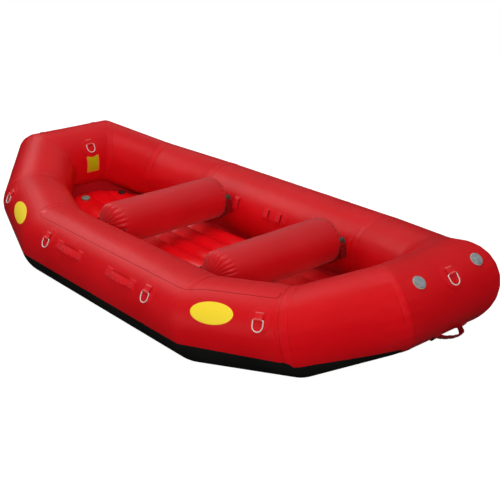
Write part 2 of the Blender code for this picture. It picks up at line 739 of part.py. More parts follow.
# thwart straps: a sling under each thwart end, held by a loop on the tube at each side
def strap_prism(front_y, thick, low, high, x0, x1, sy):
    """A solid along X whose back follows the side tube's inner face, with a flat front at front_y or this thick."""
    tube_y, tube_z, tube_r = MID[0][1], MID[0][2] + LIFT, MID[1]
    back = []
    for i in range(6):
        h = low + (high - low) * i / 5
        back.append((tube_y - math.sqrt(tube_r ** 2 - (h - tube_z) ** 2) - 0.0010, h))
    if thick is None:
        front = [(front_y, high), (front_y, low)]
    else:
        front = [(y - thick * (0.45 if i in (0, 5) else 1.0), h) for i, (y, h) in reversed(list(enumerate(back)))]
    verts, faces = loft([[Vector((x, y * sy, h)) for y, h in back + front] for x in (x0, x1)])
    return verts, faces


SLING_Y0, SLING_Y1 = 0.438, 0.476
SLING_R = THWART_R + 0.0018
for thwart, tx in (("front_thwart", THWART_X), ("rear_thwart", -THWART_X)):
    for side, sy in (("left", 1), ("right", -1)):
        rings = []
        for i in range(13):
            angle = math.radians(181.0 + 178.0 * i / 12)
            ring = []
            for r, y in ((SLING_R, SLING_Y0), (SLING_R + STRAP_T, SLING_Y0), (SLING_R + STRAP_T, SLING_Y1), (SLING_R, SLING_Y1)):
                ring.append(Vector((tx + r * math.cos(angle), y * sy, THWART_Z + LIFT + r * math.sin(angle))))
            rings.append(ring)
        verts, faces = loft(rings)
        name = "%s_strap_%s" % (thwart, side)
        strap = new_object(name, verts, facing_out(verts, faces), red_fabric("webbing_red"))
        for end, sx in (("fore", 1), ("aft", -1)):
            z = THWART_Z + LIFT
            # the lug joins the sling to the loop block, which lies on the tube beside the thwart
            lug_x = sorted((tx + sx * 0.1536, tx + sx * 0.1650))
            lug = strap_prism(SLING_Y0 + 0.001, None, z - 0.086, z - 0.016, lug_x[0], lug_x[1], sy)
            boolean(strap, helper("_lug_%s_%s" % (name, end), *lug), "UNION")
            outward = sx * tx > 0  # the tube starts to bend just past the outward side
            inner_x, outer_x = sorted((tx + sx * 0.158, tx + sx * (0.171 if outward else 0.212)))
            block = strap_prism(None, 0.0120, z - 0.060, z + 0.052, inner_x, outer_x, sy)
            boolean(strap, helper("_loop_%s_%s" % (name, end), *block), "UNION")
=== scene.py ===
"""Whitewater raft: the visual model, its materials, the light and the camera."""
import math

import bmesh
import bpy
import numpy as np
from mathutils import Matrix, Vector


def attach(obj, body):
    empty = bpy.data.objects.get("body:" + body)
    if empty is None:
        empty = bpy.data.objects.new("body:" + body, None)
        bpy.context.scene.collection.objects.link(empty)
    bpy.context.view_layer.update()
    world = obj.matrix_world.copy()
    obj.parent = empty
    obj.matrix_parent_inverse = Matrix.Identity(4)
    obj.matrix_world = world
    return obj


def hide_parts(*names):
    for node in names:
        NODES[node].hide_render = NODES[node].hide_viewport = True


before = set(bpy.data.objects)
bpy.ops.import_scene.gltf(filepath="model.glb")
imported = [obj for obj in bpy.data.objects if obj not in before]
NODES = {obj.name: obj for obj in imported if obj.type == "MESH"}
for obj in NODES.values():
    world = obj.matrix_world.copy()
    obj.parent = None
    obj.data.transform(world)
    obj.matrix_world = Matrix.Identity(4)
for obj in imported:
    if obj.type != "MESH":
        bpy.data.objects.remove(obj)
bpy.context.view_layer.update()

# ================================================================ camera
AZ, EL, ROLL = math.radians(50.049), math.radians(21.88), math.radians(-0.742)
back = Vector((math.sin(AZ) * math.cos(EL), -math.cos(AZ) * math.cos(EL), math.sin(EL)))
right = Vector((math.cos(AZ), math.sin(AZ), 0.0))
up = back.cross(right)
right_r = right * math.cos(ROLL) + up * math.sin(ROLL)
up_r = up * math.cos(ROLL) - right * math.sin(ROLL)
camera_data = bpy.data.cameras.new("camera")
camera_data.sensor_width = 36.0
camera_data.sensor_fit = "HORIZONTAL"
camera_data.lens = 68.79
camera_data.clip_end = 60.0
camera = bpy.data.objects.new("camera", camera_data)
camera.matrix_world = Matrix((
    (right_r.x, up_r.x, back.x, 4.708),
    (right_r.y, up_r.y, back.y, -3.646),
    (right_r.z, up_r.z, back.z, 2.6025),
    (0, 0, 0, 1)))
bpy.context.scene.collection.objects.link(camera)
bpy.context.scene.camera = camera

# ================================================================ dimensions shared with the CAD
SIDES = 24
LIFT = (0.2460 + 0.0006 + 0.0010) * math.cos(math.pi / SIDES) - 0.2460
CENTRE = np.array([[0.0, 0.7321, 0.2460], [0.8283, 0.7321, 0.2460], [1.4253, 0.5540, 0.3284], [1.7717, 0.2581, 0.4927], [1.7717, 0.0, 0.4927]])
CENTRE[:, 2] += LIFT
RADII = np.array([0.2460, 0.2460, 0.2376, 0.2305, 0.2305])
BEND = 0.037
THWART_X, THWART_Z, THWART_R = 0.58, 0.345 + LIFT, 0.153
END_SHIFT = 0.014  # the fittings of both ends stand this far left of the centreline
QUARTERS = (("front_left", 1, 1), ("front_right", 1, -1), ("rear_left", -1, 1), ("rear_right", -1, -1))


def unit(v):
    return v / np.linalg.norm(v)


U = [unit(CENTRE[k + 1] - CENTRE[k]) for k in range(4)]
LEN = [float(np.linalg.norm(CENTRE[k + 1] - CENTRE[k])) for k in range(4)]
H = [unit(np.array([-u[1], u[0], 0.0])) for u in U]
V = [np.cross(U[k], H[k]) for k in range(4)]
NODE_AT = np.concatenate([[0.0], np.cumsum(LEN)])
MITRE = [unit(U[k] + U[k + 1]) for k in range(3)]
CH, CV = [H[0]], [V[0]]
for k in range(3):
    n = MITRE[k]
    CH.append(CH[-1] - 2 * n * n.dot(CH[-1]))
    CV.append(CV[-1] - 2 * n * n.dot(CV[-1]))


def radius_at(k, s):
    return RADII[k] + (RADII[k + 1] - RADII[k]) * s / LEN[k]


def tube(l, phi, h=0.0):
    """Points of the skin of the front left quarter. l: path positions, phi: carried angles in degrees, h: height over it."""
    l, phi = np.atleast_1d(l).astype(float), np.radians(np.atleast_1d(phi).astype(float))
    phi = np.broadcast_to(phi, (len(l), phi.shape[-1]))
    h = np.broadcast_to(h, phi.shape)
    out = np.zeros(phi.shape + (3,))

    def direction(k, rows):
        return np.cos(phi[rows])[..., None] * CH[k] + np.sin(phi[rows])[..., None] * CV[k]

    def straight(k, rows, a_base, mitre):
        """A point at distance a_base along segment k, tilted into that mitre (or None)."""
        e = direction(k, rows)
        a = np.broadcast_to(a_base, phi[rows].shape)
        r = radius_at(k, a) + h[rows]
        if mitre is not None:
            n = MITRE[mitre]
            a = a - r * (e @ n) / n.dot(U[k])
        return CENTRE[k] + a[..., None] * U[k] + r[..., None] * e, a

    for k in range(4):
        lo = NODE_AT[k] + (BEND if k else 0.0)
        hi = NODE_AT[k + 1] - (BEND if k < 3 else 0.0)
        rows = np.where((l >= lo - 1e-9) & (l <= hi + 1e-9))[0]
        if len(rows):
            f = ((l[rows] - lo) / (hi - lo))[:, None, None]
            a, _ = straight(k, rows, BEND if k else 0.0, k - 1 if k else None)
            b, _ = straight(k, rows, LEN[k] - (BEND if k < 3 else 0.0), k if k < 3 else None)
            out[rows] = a * (1 - f) + b * f
        if k < 3:
            rows = np.where((l > hi) & (l < NODE_AT[k + 1] + BEND))[0]
            if len(rows):
                t = ((l[rows] - hi) / (2 * BEND))[:, None, None]
                a, _ = straight(k, rows, LEN[k] - BEND, k)
                m, _ = straight(k, rows, LEN[k], k)
                c, _ = straight(k + 1, rows, BEND, k)
                out[rows] = (1 - t) ** 2 * a + 2 * t * (1 - t) * m + t ** 2 * c
    return out


def on_tube(k, s0, angle0, a, b, height):
    """Points laid on segment k: a along it and b up its girth from (s0, angle0 local), arrays of one shape."""
    a, b, height = np.broadcast_arrays(np.asarray(a, float), np.asarray(b, float), np.asarray(height, float))
    s = s0 + a
    ang = math.radians(angle0) + b / radius_at(k, s0)
    e = np.cos(ang)[..., None] * H[k] + np.sin(ang)[..., None] * V[k]
    return CENTRE[k] + s[..., None] * U[k] + (radius_at(k, s) + height)[..., None] * e


# ---------------------------------------------------------------- smooth noise from fixed waves
def waves(p, scale, seed, count=14, stretch=(1, 1, 1)):
    """A smooth field in about -1..1 over points p, with features of about this size in metres."""
    rng = np.random.RandomState(seed)
    total = np.zeros(p.shape[:-1])
    for _ in range(count):
        d = rng.normal(size=3) * np.array(stretch)
        d /= np.linalg.norm(d) + 1e-9
        f = 2 * math.pi / scale * rng.uniform(0.55, 1.5)
        total += np.sin(p @ (d * f) + rng.uniform(0, 2 * math.pi))
    return total / math.sqrt(count / 2.0) / 1.6


def ridges(x, seed, count):
    """A sharp-topped periodic field over angle x in radians: fabric folds of uneven width."""
    rng = np.random.RandomState(seed)
    total = np.zeros_like(x)
    for i in range(count):
        n = rng.randint(9, 26)
        total += rng.uniform(0.4, 1.0) * (1 - np.abs(np.sin(n * x / 2 + rng.uniform(0, 6.28))) * 1.6)
    return total / count


# ================================================================ materials
def srgb(r, g, b):
    def one(c):
        c /= 255.0
        return c / 12.92 if c <= 0.04045 else ((c + 0.055) / 1.055) ** 2.4
    return (one(r), one(g), one(b), 1.0)


class Mat:
    """A node material built up line by line."""

    def __init__(self, name, colour, roughness, metallic=0.0, specular=0.5, coat=0.0, coat_roughness=0.2, sheen=0.0):
        self.mat = bpy.data.materials.new(name)
        self.mat.use_nodes = True
        self.tree = self.mat.node_tree
        self.bsdf = self.tree.nodes["Principled BSDF"]
        self.bsdf.inputs["Base Color"].default_value = colour
        self.bsdf.inputs["Roughness"].default_value = roughness
        self.bsdf.inputs["Metallic"].default_value = metallic
        self.bsdf.inputs["Specular IOR Level"].default_value = specular
        self.bsdf.inputs["Coat Weight"].default_value = coat
        self.bsdf.inputs["Coat Roughness"].default_value = coat_roughness
        self.bsdf.inputs["Sheen Weight"].default_value = sheen
        self.mat.diffuse_color = colour
        self.coord = self.node("ShaderNodeTexCoord")

    def node(self, kind, **values):
        node = self.tree.nodes.new(kind)
        for key, value in values.items():
            if key in node.inputs:
                node.inputs[key].default_value = value
            else:
                setattr(node, key, value)
        return node

    def link(self, a, b):
        self.tree.links.new(a, b)

    def noise(self, scale, detail=3.0, rough=0.5, source="Object"):
        n = self.node("ShaderNodeTexNoise")
        n.inputs["Scale"].default_value = scale
        n.inputs["Detail"].default_value = detail
        n.inputs["Roughness"].default_value = rough
        self.link(self.coord.outputs[source], n.inputs["Vector"])
        return n.outputs["Fac"]

    def ramp(self, fac, stops):
        r = self.node("ShaderNodeValToRGB")
        elements = r.color_ramp.elements
        while len(elements) < len(stops):
            elements.new(0.5)
        for e, (pos, colour) in zip(elements, stops):
            e.position = pos
            e.color = colour
        self.link(fac, r.inputs["Fac"])
        return r.outputs["Color"]

    def colour(self, fac, stops):
        self.link(self.ramp(fac, stops), self.bsdf.inputs["Base Color"])

    def rough(self, fac, low, high):
        m = self.node("ShaderNodeMapRange")
        m.inputs["To Min"].default_value = low
        m.inputs["To Max"].default_value = high
        self.link(fac, m.inputs["Value"])
        self.link(m.outputs["Result"], self.bsdf.inputs["Roughness"])

    def math(self, op, a, b=None):
        m = self.node("ShaderNodeMath")
        m.operation = op
        for i, value in enumerate((a, b)):
            if value is None:
                continue
            if isinstance(value, (int, float)):
                m.inputs[i].default_value = value
            else:
                self.link(value, m.inputs[i])
        return m.outputs["Value"]

    def bump(self, layers):
        """layers: (height socket, distance in metres). The bumps stack."""
        last = None
        for height, distance in layers:
            b = self.node("ShaderNodeBump")
            b.inputs["Distance"].default_value = distance
            b.inputs["Strength"].default_value = 1.0
            self.link(height, b.inputs["Height"])
            if last is not None:
                self.link(last, b.inputs["Normal"])
            last = b.outputs["Normal"]
        self.link(last, self.bsdf.inputs["Normal"])

    def weave(self, across, along, source="UV"):
        """Height of a plain weave. across, along: threads per metre."""
        sep = self.node("ShaderNodeSeparateXYZ")
        self.link(self.coord.outputs[source], sep.inputs[0])
        a = self.math("SINE", self.math("MULTIPLY", sep.outputs["X"], 2 * math.pi * along))
        b = self.math("SINE", self.math("MULTIPLY", sep.outputs["Y"], 2 * math.pi * across))
        return self.math("MULTIPLY", a, b)


def coated(name, base, light, deep, rough=(0.33, 0.44), specular=0.4, coat=0.0, bump=0.0009, fine=0.00012, sheen=0.0, dull_at=None):
    """Coated fabric: a faint weave under a satin skin, slow colour drift, small soft dents and scuffs.

    dull_at: the fabric loses its gloss in a strip across the boat, this far fore and aft of the middle.
    """
    m = Mat(name, base, rough[0], specular=specular, coat=coat, coat_roughness=0.35, sheen=sheen)
    slow = m.noise(3.1, 3.0, 0.55)
    m.colour(slow, [(0.25, deep), (0.50, base), (0.78, light)])
    m.rough(m.noise(17.0, 4.0, 0.6), rough[0], rough[1])
    if dull_at is not None:
        plain = m.bsdf.inputs["Roughness"].links[0].from_socket
        place = m.node("ShaderNodeSeparateXYZ")
        m.link(m.coord.outputs["Object"], place.inputs[0])
        off = m.math("ABSOLUTE", m.math("SUBTRACT", m.math("ABSOLUTE", place.outputs["X"]), dull_at))
        strip = m.node("ShaderNodeMapRange")
        strip.interpolation_type = "SMOOTHSTEP"
        strip.inputs["From Min"].default_value = 0.08
        strip.inputs["From Max"].default_value = 0.15
        strip.inputs["To Min"].default_value = 0.55
        strip.inputs["To Max"].default_value = 0.0
        m.link(off, strip.inputs["Value"])
        m.link(m.math("ADD", plain, strip.outputs["Result"]), m.bsdf.inputs["Roughness"])
    m.bump([(m.noise(26.0, 3.0, 0.5), bump), (m.noise(150.0, 2.0, 0.5), fine), (m.weave(900, 900), 0.00003)])
    return m.mat


def webbing(name, base, light, deep, rough=(0.55, 0.75)):
    m = Mat(name, base, rough[0], specular=0.3, sheen=0.03)
    w = m.weave(520, 260)
    half = m.math("ADD", m.math("MULTIPLY", w, 0.5), 0.5)
    m.colour(m.math("ADD", m.math("MULTIPLY", half, 0.5), m.math("MULTIPLY", m.noise(60.0), 0.5)), [(0.2, deep), (0.5, base), (0.8, light)])
    m.rough(m.noise(80.0), rough[0], rough[1])
    m.bump([(m.noise(60.0, 3.0, 0.5), 0.0005), (w, 0.0002)])
    return m.mat


def plastic(name, base, light, deep, rough=(0.32, 0.5)):
    m = Mat(name, base, rough[0], specular=0.5)
    m.colour(m.noise(45.0, 3.0), [(0.3, deep), (0.5, base), (0.75, light)])
    m.rough(m.noise(120.0, 4.0), rough[0], rough[1])
    m.bump([(m.noise(700.0, 2.0), 0.00012), (m.noise(60.0, 2.0), 0.0002)])
    return m.mat


RED = coated("tube_red", srgb(208, 10, 20), srgb(213, 15, 25), srgb(202, 6, 16))
# the floor's red is brighter than the tubes': partly a more vivid floor fabric, partly painted light that lifts the
# shaded inside of the boat
FLOOR_RED = coated("floor_red", srgb(248, 14, 26), srgb(252, 20, 32), srgb(240, 10, 20), rough=(0.27, 0.32), specular=0.85, bump=0.0003, fine=0.00002, dull_at=0.58)
THWART_RED = coated("thwart_red", srgb(200, 12, 22), srgb(206, 17, 27), srgb(193, 8, 18), rough=(0.32, 0.42), specular=0.75, sheen=0.06)
# pale pink for the small tape-end plates: a painted highlight where light catches their raised edge
TAPE_END_HIGHLIGHT = coated("tape_end", srgb(224, 58, 62), srgb(228, 66, 70), srgb(218, 48, 52))
PATCH_RED = coated("patch_red", srgb(211, 14, 24), srgb(216, 20, 30), srgb(205, 9, 19), rough=(0.38, 0.5))
TAPE_RED = coated("tape_red", srgb(210, 12, 22), srgb(215, 18, 28), srgb(204, 8, 18), rough=(0.36, 0.48))
FLANGE_RED = coated("flange_red", srgb(206, 22, 30), srgb(212, 28, 36), srgb(196, 16, 24), rough=(0.45, 0.55), specular=0.4)
# darker reds for the fine lines along tape and panel edges: painted shade along each edge's step
TAPE_EDGE_SHADE = coated("tape_edge", srgb(176, 8, 16), srgb(181, 10, 18), srgb(170, 6, 14), rough=(0.5, 0.6), specular=0.2)
FAINT_EDGE_SHADE = coated("faint_edge_painted_shade", srgb(192, 9, 18), srgb(197, 11, 20), srgb(186, 7, 15), rough=(0.45, 0.55), specular=0.3)
EDGE_SHADE_RED = coated("edge_painted_shade", srgb(150, 6, 14), srgb(160, 10, 18), srgb(138, 4, 11), rough=(0.5, 0.6), specular=0.2)
BLACK = coated("chafe_black", srgb(24, 24, 23), srgb(30, 30, 28), srgb(18, 18, 17), rough=(0.6, 0.75), specular=0.1)
YELLOW = coated("blank_yellow", srgb(254, 224, 56), srgb(255, 230, 72), srgb(250, 216, 44), rough=(0.40, 0.52), specular=0.35)
LABEL = coated("blank_label", srgb(226, 150, 48), srgb(232, 158, 58), srgb(216, 140, 40), rough=(0.40, 0.52), specular=0.3)
LABEL_FACE = coated("blank_label_face", srgb(184, 182, 14), srgb(192, 190, 24), srgb(172, 170, 8), rough=(0.40, 0.52), specular=0.3)
# webbing red, lighter than the tube red: partly the webbing's own tone, partly a painted highlight so that the straps
# read as lit
WEB_LIT_RED = webbing("webbing_red", srgb(220, 26, 34), srgb(230, 44, 50), srgb(204, 14, 22))
# near-black sheet for the thwart loops' slits: painted shade
SHADE_BLACK = webbing("slit_painted_shade", srgb(28, 28, 28), srgb(44, 43, 42), srgb(12, 12, 12))
# a dark copy of the fabric red for the inside of a loop: painted shade
SLIT = coated("loop_inside_painted_shade", srgb(96, 4, 8), srgb(110, 6, 10), srgb(80, 3, 6), rough=(0.6, 0.7), specular=0.1)
GREY = plastic("valve_grey", srgb(142, 148, 150), srgb(156, 161, 163), srgb(126, 131, 134))
RIM_GREY = plastic("valve_rim_grey", srgb(172, 174, 166), srgb(184, 186, 178), srgb(158, 160, 152))
DARK = plastic("plunger_dark", srgb(58, 58, 61), srgb(76, 76, 79), srgb(40, 40, 43))
FLOOR_GREY = plastic("floor_valve_grey", srgb(128, 150, 132), srgb(142, 162, 146), srgb(108, 130, 112))
# the valve grey darkened: painted shade for the thwart valves, which sit in shadow
THWART_VALVE_SHADED = plastic("thwart_valve_painted_shade", srgb(60, 67, 56), srgb(72, 79, 67), srgb(48, 54, 45))
RELIEF = plastic("relief_dark", srgb(40, 44, 42), srgb(56, 60, 58), srgb(26, 28, 27))
# pale pink for the rolled folds on the tabs: a painted highlight
BAR_PALE_HIGHLIGHT = webbing("bar_painted_highlight", srgb(226, 92, 92), srgb(236, 124, 120), srgb(206, 60, 62))
# dark red sheet for the loops' mouths: painted shade
MOUTH_SHADE = coated("loop_mouth_painted_shade", srgb(58, 10, 12), srgb(66, 12, 14), srgb(46, 6, 8), rough=(0.7, 0.8), specular=0.05)
THREAD = webbing("thread", srgb(200, 16, 26), srgb(208, 24, 32), srgb(190, 12, 20))
# a darker copy of the webbing red: painted shade for straps that lie in shadow, the thwart slings and lugs and the tow
# loops
WEB_SHADED = webbing("webbing_painted_shade", srgb(134, 7, 14), srgb(146, 12, 19), srgb(116, 4, 9))


def steel():
    # only partly metallic, with a near-white faintly warm base colour: a painted reflection that keeps the rings bright
    m = Mat("stainless_steel", srgb(252, 244, 238), 0.38, metallic=0.4)
    m.colour(m.noise(220.0, 3.0), [(0.3, srgb(246, 236, 230)), (0.5, srgb(252, 244, 238)), (0.8, srgb(255, 250, 246))])
    m.rough(m.noise(350.0, 4.0), 0.34, 0.48)
    m.bump([(m.noise(900.0, 2.0), 0.00006)])
    return m.mat


STEEL = steel()


# ================================================================ mesh building
def make(name, verts, faces, mat, body="raft", uv=None, sharp=50.0):
    mesh = bpy.data.meshes.new(name)
    mesh.from_pydata([tuple(v) for v in verts], [], [tuple(int(i) for i in f) for f in faces])
    if uv is not None:
        layer = mesh.uv_layers.new(name="UVMap")
        loops = np.zeros(len(mesh.loops), np.int32)
        mesh.loops.foreach_get("vertex_index", loops)
        layer.data.foreach_set("uv", np.asarray(uv, np.float32)[loops].ravel())
    mesh.validate()
    obj = bpy.data.objects.new(name, mesh)
    bpy.context.scene.collection.objects.link(obj)
    mesh.materials.append(mat)
    mesh.shade_smooth()
    mesh.set_sharp_from_angle(angle=math.radians(sharp))
    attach(obj, body)
    return obj


def grid_faces(n, m, close_n=False, close_m=False, base=0):
    r = np.arange(n if close_n else n - 1)
    c = np.arange(m if close_m else m - 1)
    r, c = np.meshgrid(r, c, indexing="ij")
    r1, c1 = (r + 1) % n, (c + 1) % m
    return np.stack([r * m + c, r * m + c1, r1 * m + c1, r1 * m + c], axis=-1).reshape(-1, 4) + base


def outward(verts, faces):
    """Faces turned so that a closed surface has a positive volume."""
    v = np.asarray(verts)
    total = 0.0
    arr = np.asarray([f[:3] for f in faces])
    total += np.einsum("ij,ij->i", v[arr[:, 0]], np.cross(v[arr[:, 1]], v[arr[:, 2]])).sum()
    quads = np.asarray([f for f in faces if len(f) == 4])
    if len(quads):
        total += np.einsum("ij,ij->i", v[quads[:, 0]], np.cross(v[quads[:, 2]], v[quads[:, 3]])).sum()
    return [tuple(reversed(list(f))) for f in faces] if total < 0 else [tuple(f) for f in faces]


def slab(top, low, uv=None):
    """A closed solid between two grids of points of one shape."""
    n, m = top.shape[:2]
    verts = np.concatenate([top.reshape(-1, 3), low.reshape(-1, 3)])
    f = list(map(tuple, grid_faces(n, m)))
    g = [tuple(reversed(x)) for x in map(tuple, grid_faces(n, m, base=n * m))]
    off = n * m
    sides = []
    for i in range(m - 1):
        sides.append((i + 1, i, off + i, off + i + 1))
        a = (n - 1) * m + i
        sides.append((a, a + 1, off + a + 1, off + a))
    for j in range(n - 1):
        a, b = j * m, (j + 1) * m
        sides.append((a, b, off + b, off + a))
        a, b = a + m - 1, b + m - 1
        sides.append((b, a, off + a, off + b))
    faces = outward(verts, f + g + sides)
    if uv is None:
        uv = np.zeros((n, m, 2))
        uv[..., 0] = np.concatenate([[0], np.cumsum(np.linalg.norm(np.diff(top[:, m // 2], axis=0), axis=1))])[:, None]
        uv[..., 1] = np.concatenate([[0], np.cumsum(np.linalg.norm(np.diff(top[n // 2], axis=0), axis=1))])[None, :]
    uv = np.concatenate([uv.reshape(-1, 2), uv.reshape(-1, 2)])
    return verts, faces, uv


def mirrored(verts, faces, sx, sy):
    verts = np.array(verts, float).reshape(-1, 3) * np.array([sx, sy, 1.0])
    return verts, ([tuple(reversed(list(f))) for f in faces] if sx * sy < 0 else faces)


def turned(profile, sides, centre, axis, toward=(0, 1, 0), wobble=None):
    """Surface of revolution. profile: (radius, height). wobble(k, i) scales the radius of profile point k at side i."""
    axis = unit(np.array(axis, float))
    toward = np.array(toward, float)
    x = unit(toward - axis * axis.dot(toward))
    y = np.cross(axis, x)
    a = np.arange(sides) * 2 * math.pi / sides
    ring = np.cos(a)[:, None] * x + np.sin(a)[:, None] * y
    rows = []
    for k, (r, h) in enumerate(profile):
        scale = np.ones(sides) if wobble is None else np.array([wobble(k, i) for i in range(sides)])
        rows.append(np.array(centre) + axis * h + ring * (max(r, 1e-5) * scale)[:, None])
    p = np.array(rows)
    n, m = p.shape[:2]
    verts = p.reshape(-1, 3)
    faces = list(map(tuple, grid_faces(n, m, close_m=True)))
    uv = np.zeros((n, m, 2))
    uv[..., 0] = (a * max(r for r, _ in profile))[None, :]
    uv[..., 1] = np.concatenate([[0], np.cumsum([math.hypot(*d) for d in np.diff(np.array(profile), axis=0)])])[:, None]
    return verts, outward(verts, faces), uv.reshape(-1, 2)


def sweep(points, normal, radius, sides=14, closed=False):
    """A round wire along points."""
    pts = np.array(points, float)
    n = len(pts)
    normal = unit(np.array(normal, float))
    rings = []
    for i in range(n):
        if closed:
            t = unit(pts[(i + 1) % n] - pts[i - 1])
        else:
            t = unit(pts[min(i + 1, n - 1)] - pts[max(i - 1, 0)])
        x = unit(np.cross(t, normal)) if abs(t.dot(normal)) < 0.98 else unit(np.cross(t, [0.3, 0.2, 0.9]))
        y = np.cross(t, x)
        a = np.arange(sides) * 2 * math.pi / sides
        rings.append(pts[i] + (np.cos(a)[:, None] * x + np.sin(a)[:, None] * y) * radius)
    p = np.array(rings)
    verts = p.reshape(-1, 3)
    faces = list(map(tuple, grid_faces(n, sides, close_n=closed, close_m=True)))
    if not closed:
        faces.append(tuple(range(sides)))
        faces.append(tuple(reversed(range((n - 1) * sides, n * sides))))
    return verts, outward(verts, faces)


# ================================================================ the air tubes
def path_samples(step):
    marks = [0.0]
    for k in range(4):
        lo = NODE_AT[k] + (BEND if k else 0.0)
        hi = NODE_AT[k + 1] - (BEND if k < 3 else 0.0)
        marks += list(np.linspace(lo, hi, max(2, int((hi - lo) / step) + 1)))
        if k < 3:
            marks += list(np.linspace(hi, NODE_AT[k + 1] + BEND, 11))
    marks = np.array(sorted(set(np.round(marks, 6))))
    return marks


# height of the chafe strips' upper edge along the path
CHAFE_TOP = (np.array([NODE_AT[0], NODE_AT[1], NODE_AT[2], NODE_AT[2] + 0.25, NODE_AT[3], NODE_AT[3] + 0.1]),
             np.array([0.197, 0.197, 0.252, 0.290, 0.334, 0.2]) + LIFT)


# for each seam: the carried angle of its ripples, their spread in degrees and their height
RIPPLE = ((70.0, 20.0, 0.0006), (64.0, 22.0, 0.0011), (84.0, 14.0, 0.0012))


def skin_height(p, l, phi):
    """Small unevenness of the inflated skin, and puckers beside each mitre on its hollow side."""
    h = 0.0006 * waves(p, 0.30, 11) + 0.00035 * waves(p, 0.11, 12)
    for k in range(3):
        d = np.abs(l - NODE_AT[k + 1])[:, None]
        turn = U[k + 1] - U[k]
        turn = turn / np.linalg.norm(turn)
        e = np.cos(np.radians(phi))[None, :, None] * CH[k] + np.sin(np.radians(phi))[None, :, None] * CV[k]
        hollow = np.clip(e @ turn, 0, 1) ** 1.5
        fade = np.exp(-((d / 0.075) ** 2))
        fold = ridges(np.radians(phi)[None, :] * 1.0 + 0.0 * d, 40 + k, 3)
        above = np.clip((p[..., 2] - np.interp(l, CHAFE_TOP[0], CHAFE_TOP[1])[:, None] - 0.015) / 0.05, 0, 1)
        hollow = hollow * above
        h = h + 0.0030 * hollow * fade * fold
        # ripples that lie beside the seam on the upper, outer side
        where = np.exp(-(((phi[None, :] - RIPPLE[k][0] + 180) % 360 - 180) / RIPPLE[k][1]) ** 2)
        h = h + RIPPLE[k][2] * where * np.exp(-((d / 0.052) ** 2)) * np.cos(2 * math.pi * (d + 0.004 * np.sin(np.radians(phi)[None, :] * 9)) / 0.025)
        outer = np.clip(-(e @ turn), 0, 1) * above
        h = h + 0.0009 * outer * np.exp(-((d / 0.10) ** 2)) * np.sin(np.radians(phi)[None, :] * 23 + 9 * d)
    return h


PATH = path_samples(0.016)
extra = [node + side * (BEND + d) for node in NODE_AT[1:4] for side in (-1, 1) for d in (0.006, 0.012, 0.018, 0.024, 0.030, 0.036, 0.042)]
PATH = np.array([x for x in PATH if all(not (BEND < abs(x - node) < 0.085) for node in NODE_AT[1:4])] + extra)
PATH = np.unique(np.round(PATH, 6))
PHI = np.arange(150) * 360.0 / 150
for quarter, sx, sy in QUARTERS:
    p0 = tube(PATH, PHI)
    h = skin_height(p0 * np.array([sx, sy, 1.0]), PATH, PHI)
    keep = np.clip(np.minimum(PATH, NODE_AT[4] - PATH) / 0.03, 0, 1)[:, None]
    p = tube(PATH, PHI, h * keep)
    n, m = p.shape[:2]
    verts = p.reshape(-1, 3)
    faces = list(map(tuple, grid_faces(n, m, close_m=True)))
    # the ends are closed by the baffles between chambers
    verts = np.concatenate([verts, [CENTRE[0], CENTRE[4]]])
    faces += [((i + 1) % m, i, n * m) for i in range(m)]
    faces += [((n - 1) * m + i, (n - 1) * m + (i + 1) % m, n * m + 1) for i in range(m)]
    faces = outward(verts, faces)
    uv = np.zeros((n, m, 2))
    uv[..., 0] = PATH[:, None]
    uv[..., 1] = np.radians(PHI)[None, :] * 0.246
    uv = np.concatenate([uv.reshape(-1, 2), [[0, 0], [2.2, 0]]])
    verts, faces = mirrored(verts, faces, sx, sy)
    obj = make(quarter + "_tube", verts, faces, RED, uv=uv)
    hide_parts(quarter + "_chamber")
    # a seam tape over each mitre
    for k in range(3):
        t = np.linspace(-0.026, 0.026, 13)
        edge = np.clip((0.026 - np.abs(t)) / 0.003, 0, 1)
        phi = np.arange(144) * 2.5
        rows = []
        for j, tj in enumerate(t):
            base = tube([NODE_AT[k + 1] + tj], phi, (-0.0009 + 0.0017 * edge[j]) * np.ones((1, 144)))
            hh = skin_height(base * np.array([sx, sy, 1.0]), np.array([NODE_AT[k + 1] + tj]), phi)
            rows.append(tube([NODE_AT[k + 1] + tj], phi, hh - 0.0009 + 0.0017 * edge[j])[0])
        p = np.array(rows)
        faces = list(map(tuple, grid_faces(13, 144, close_m=True)))
        # an open band: turned so that it faces out
        v0 = p.reshape(-1, 3)
        f0 = faces[0]
        nrm = np.cross(v0[f0[1]] - v0[f0[0]], v0[f0[2]] - v0[f0[0]])
        if nrm.dot(v0[f0[0]] - CENTRE[k + 1]) < 0:
            faces = [tuple(reversed(f)) for f in faces]
        verts, faces = mirrored(v0, faces, sx, sy)
        uv = np.zeros((13, 144, 2))
        uv[..., 0] = t[:, None]
        uv[..., 1] = np.radians(phi)[None, :] * 0.24
        make("%s_seam_tape_%d" % (quarter, k), verts, faces, TAPE_RED, uv=uv.reshape(-1, 2))


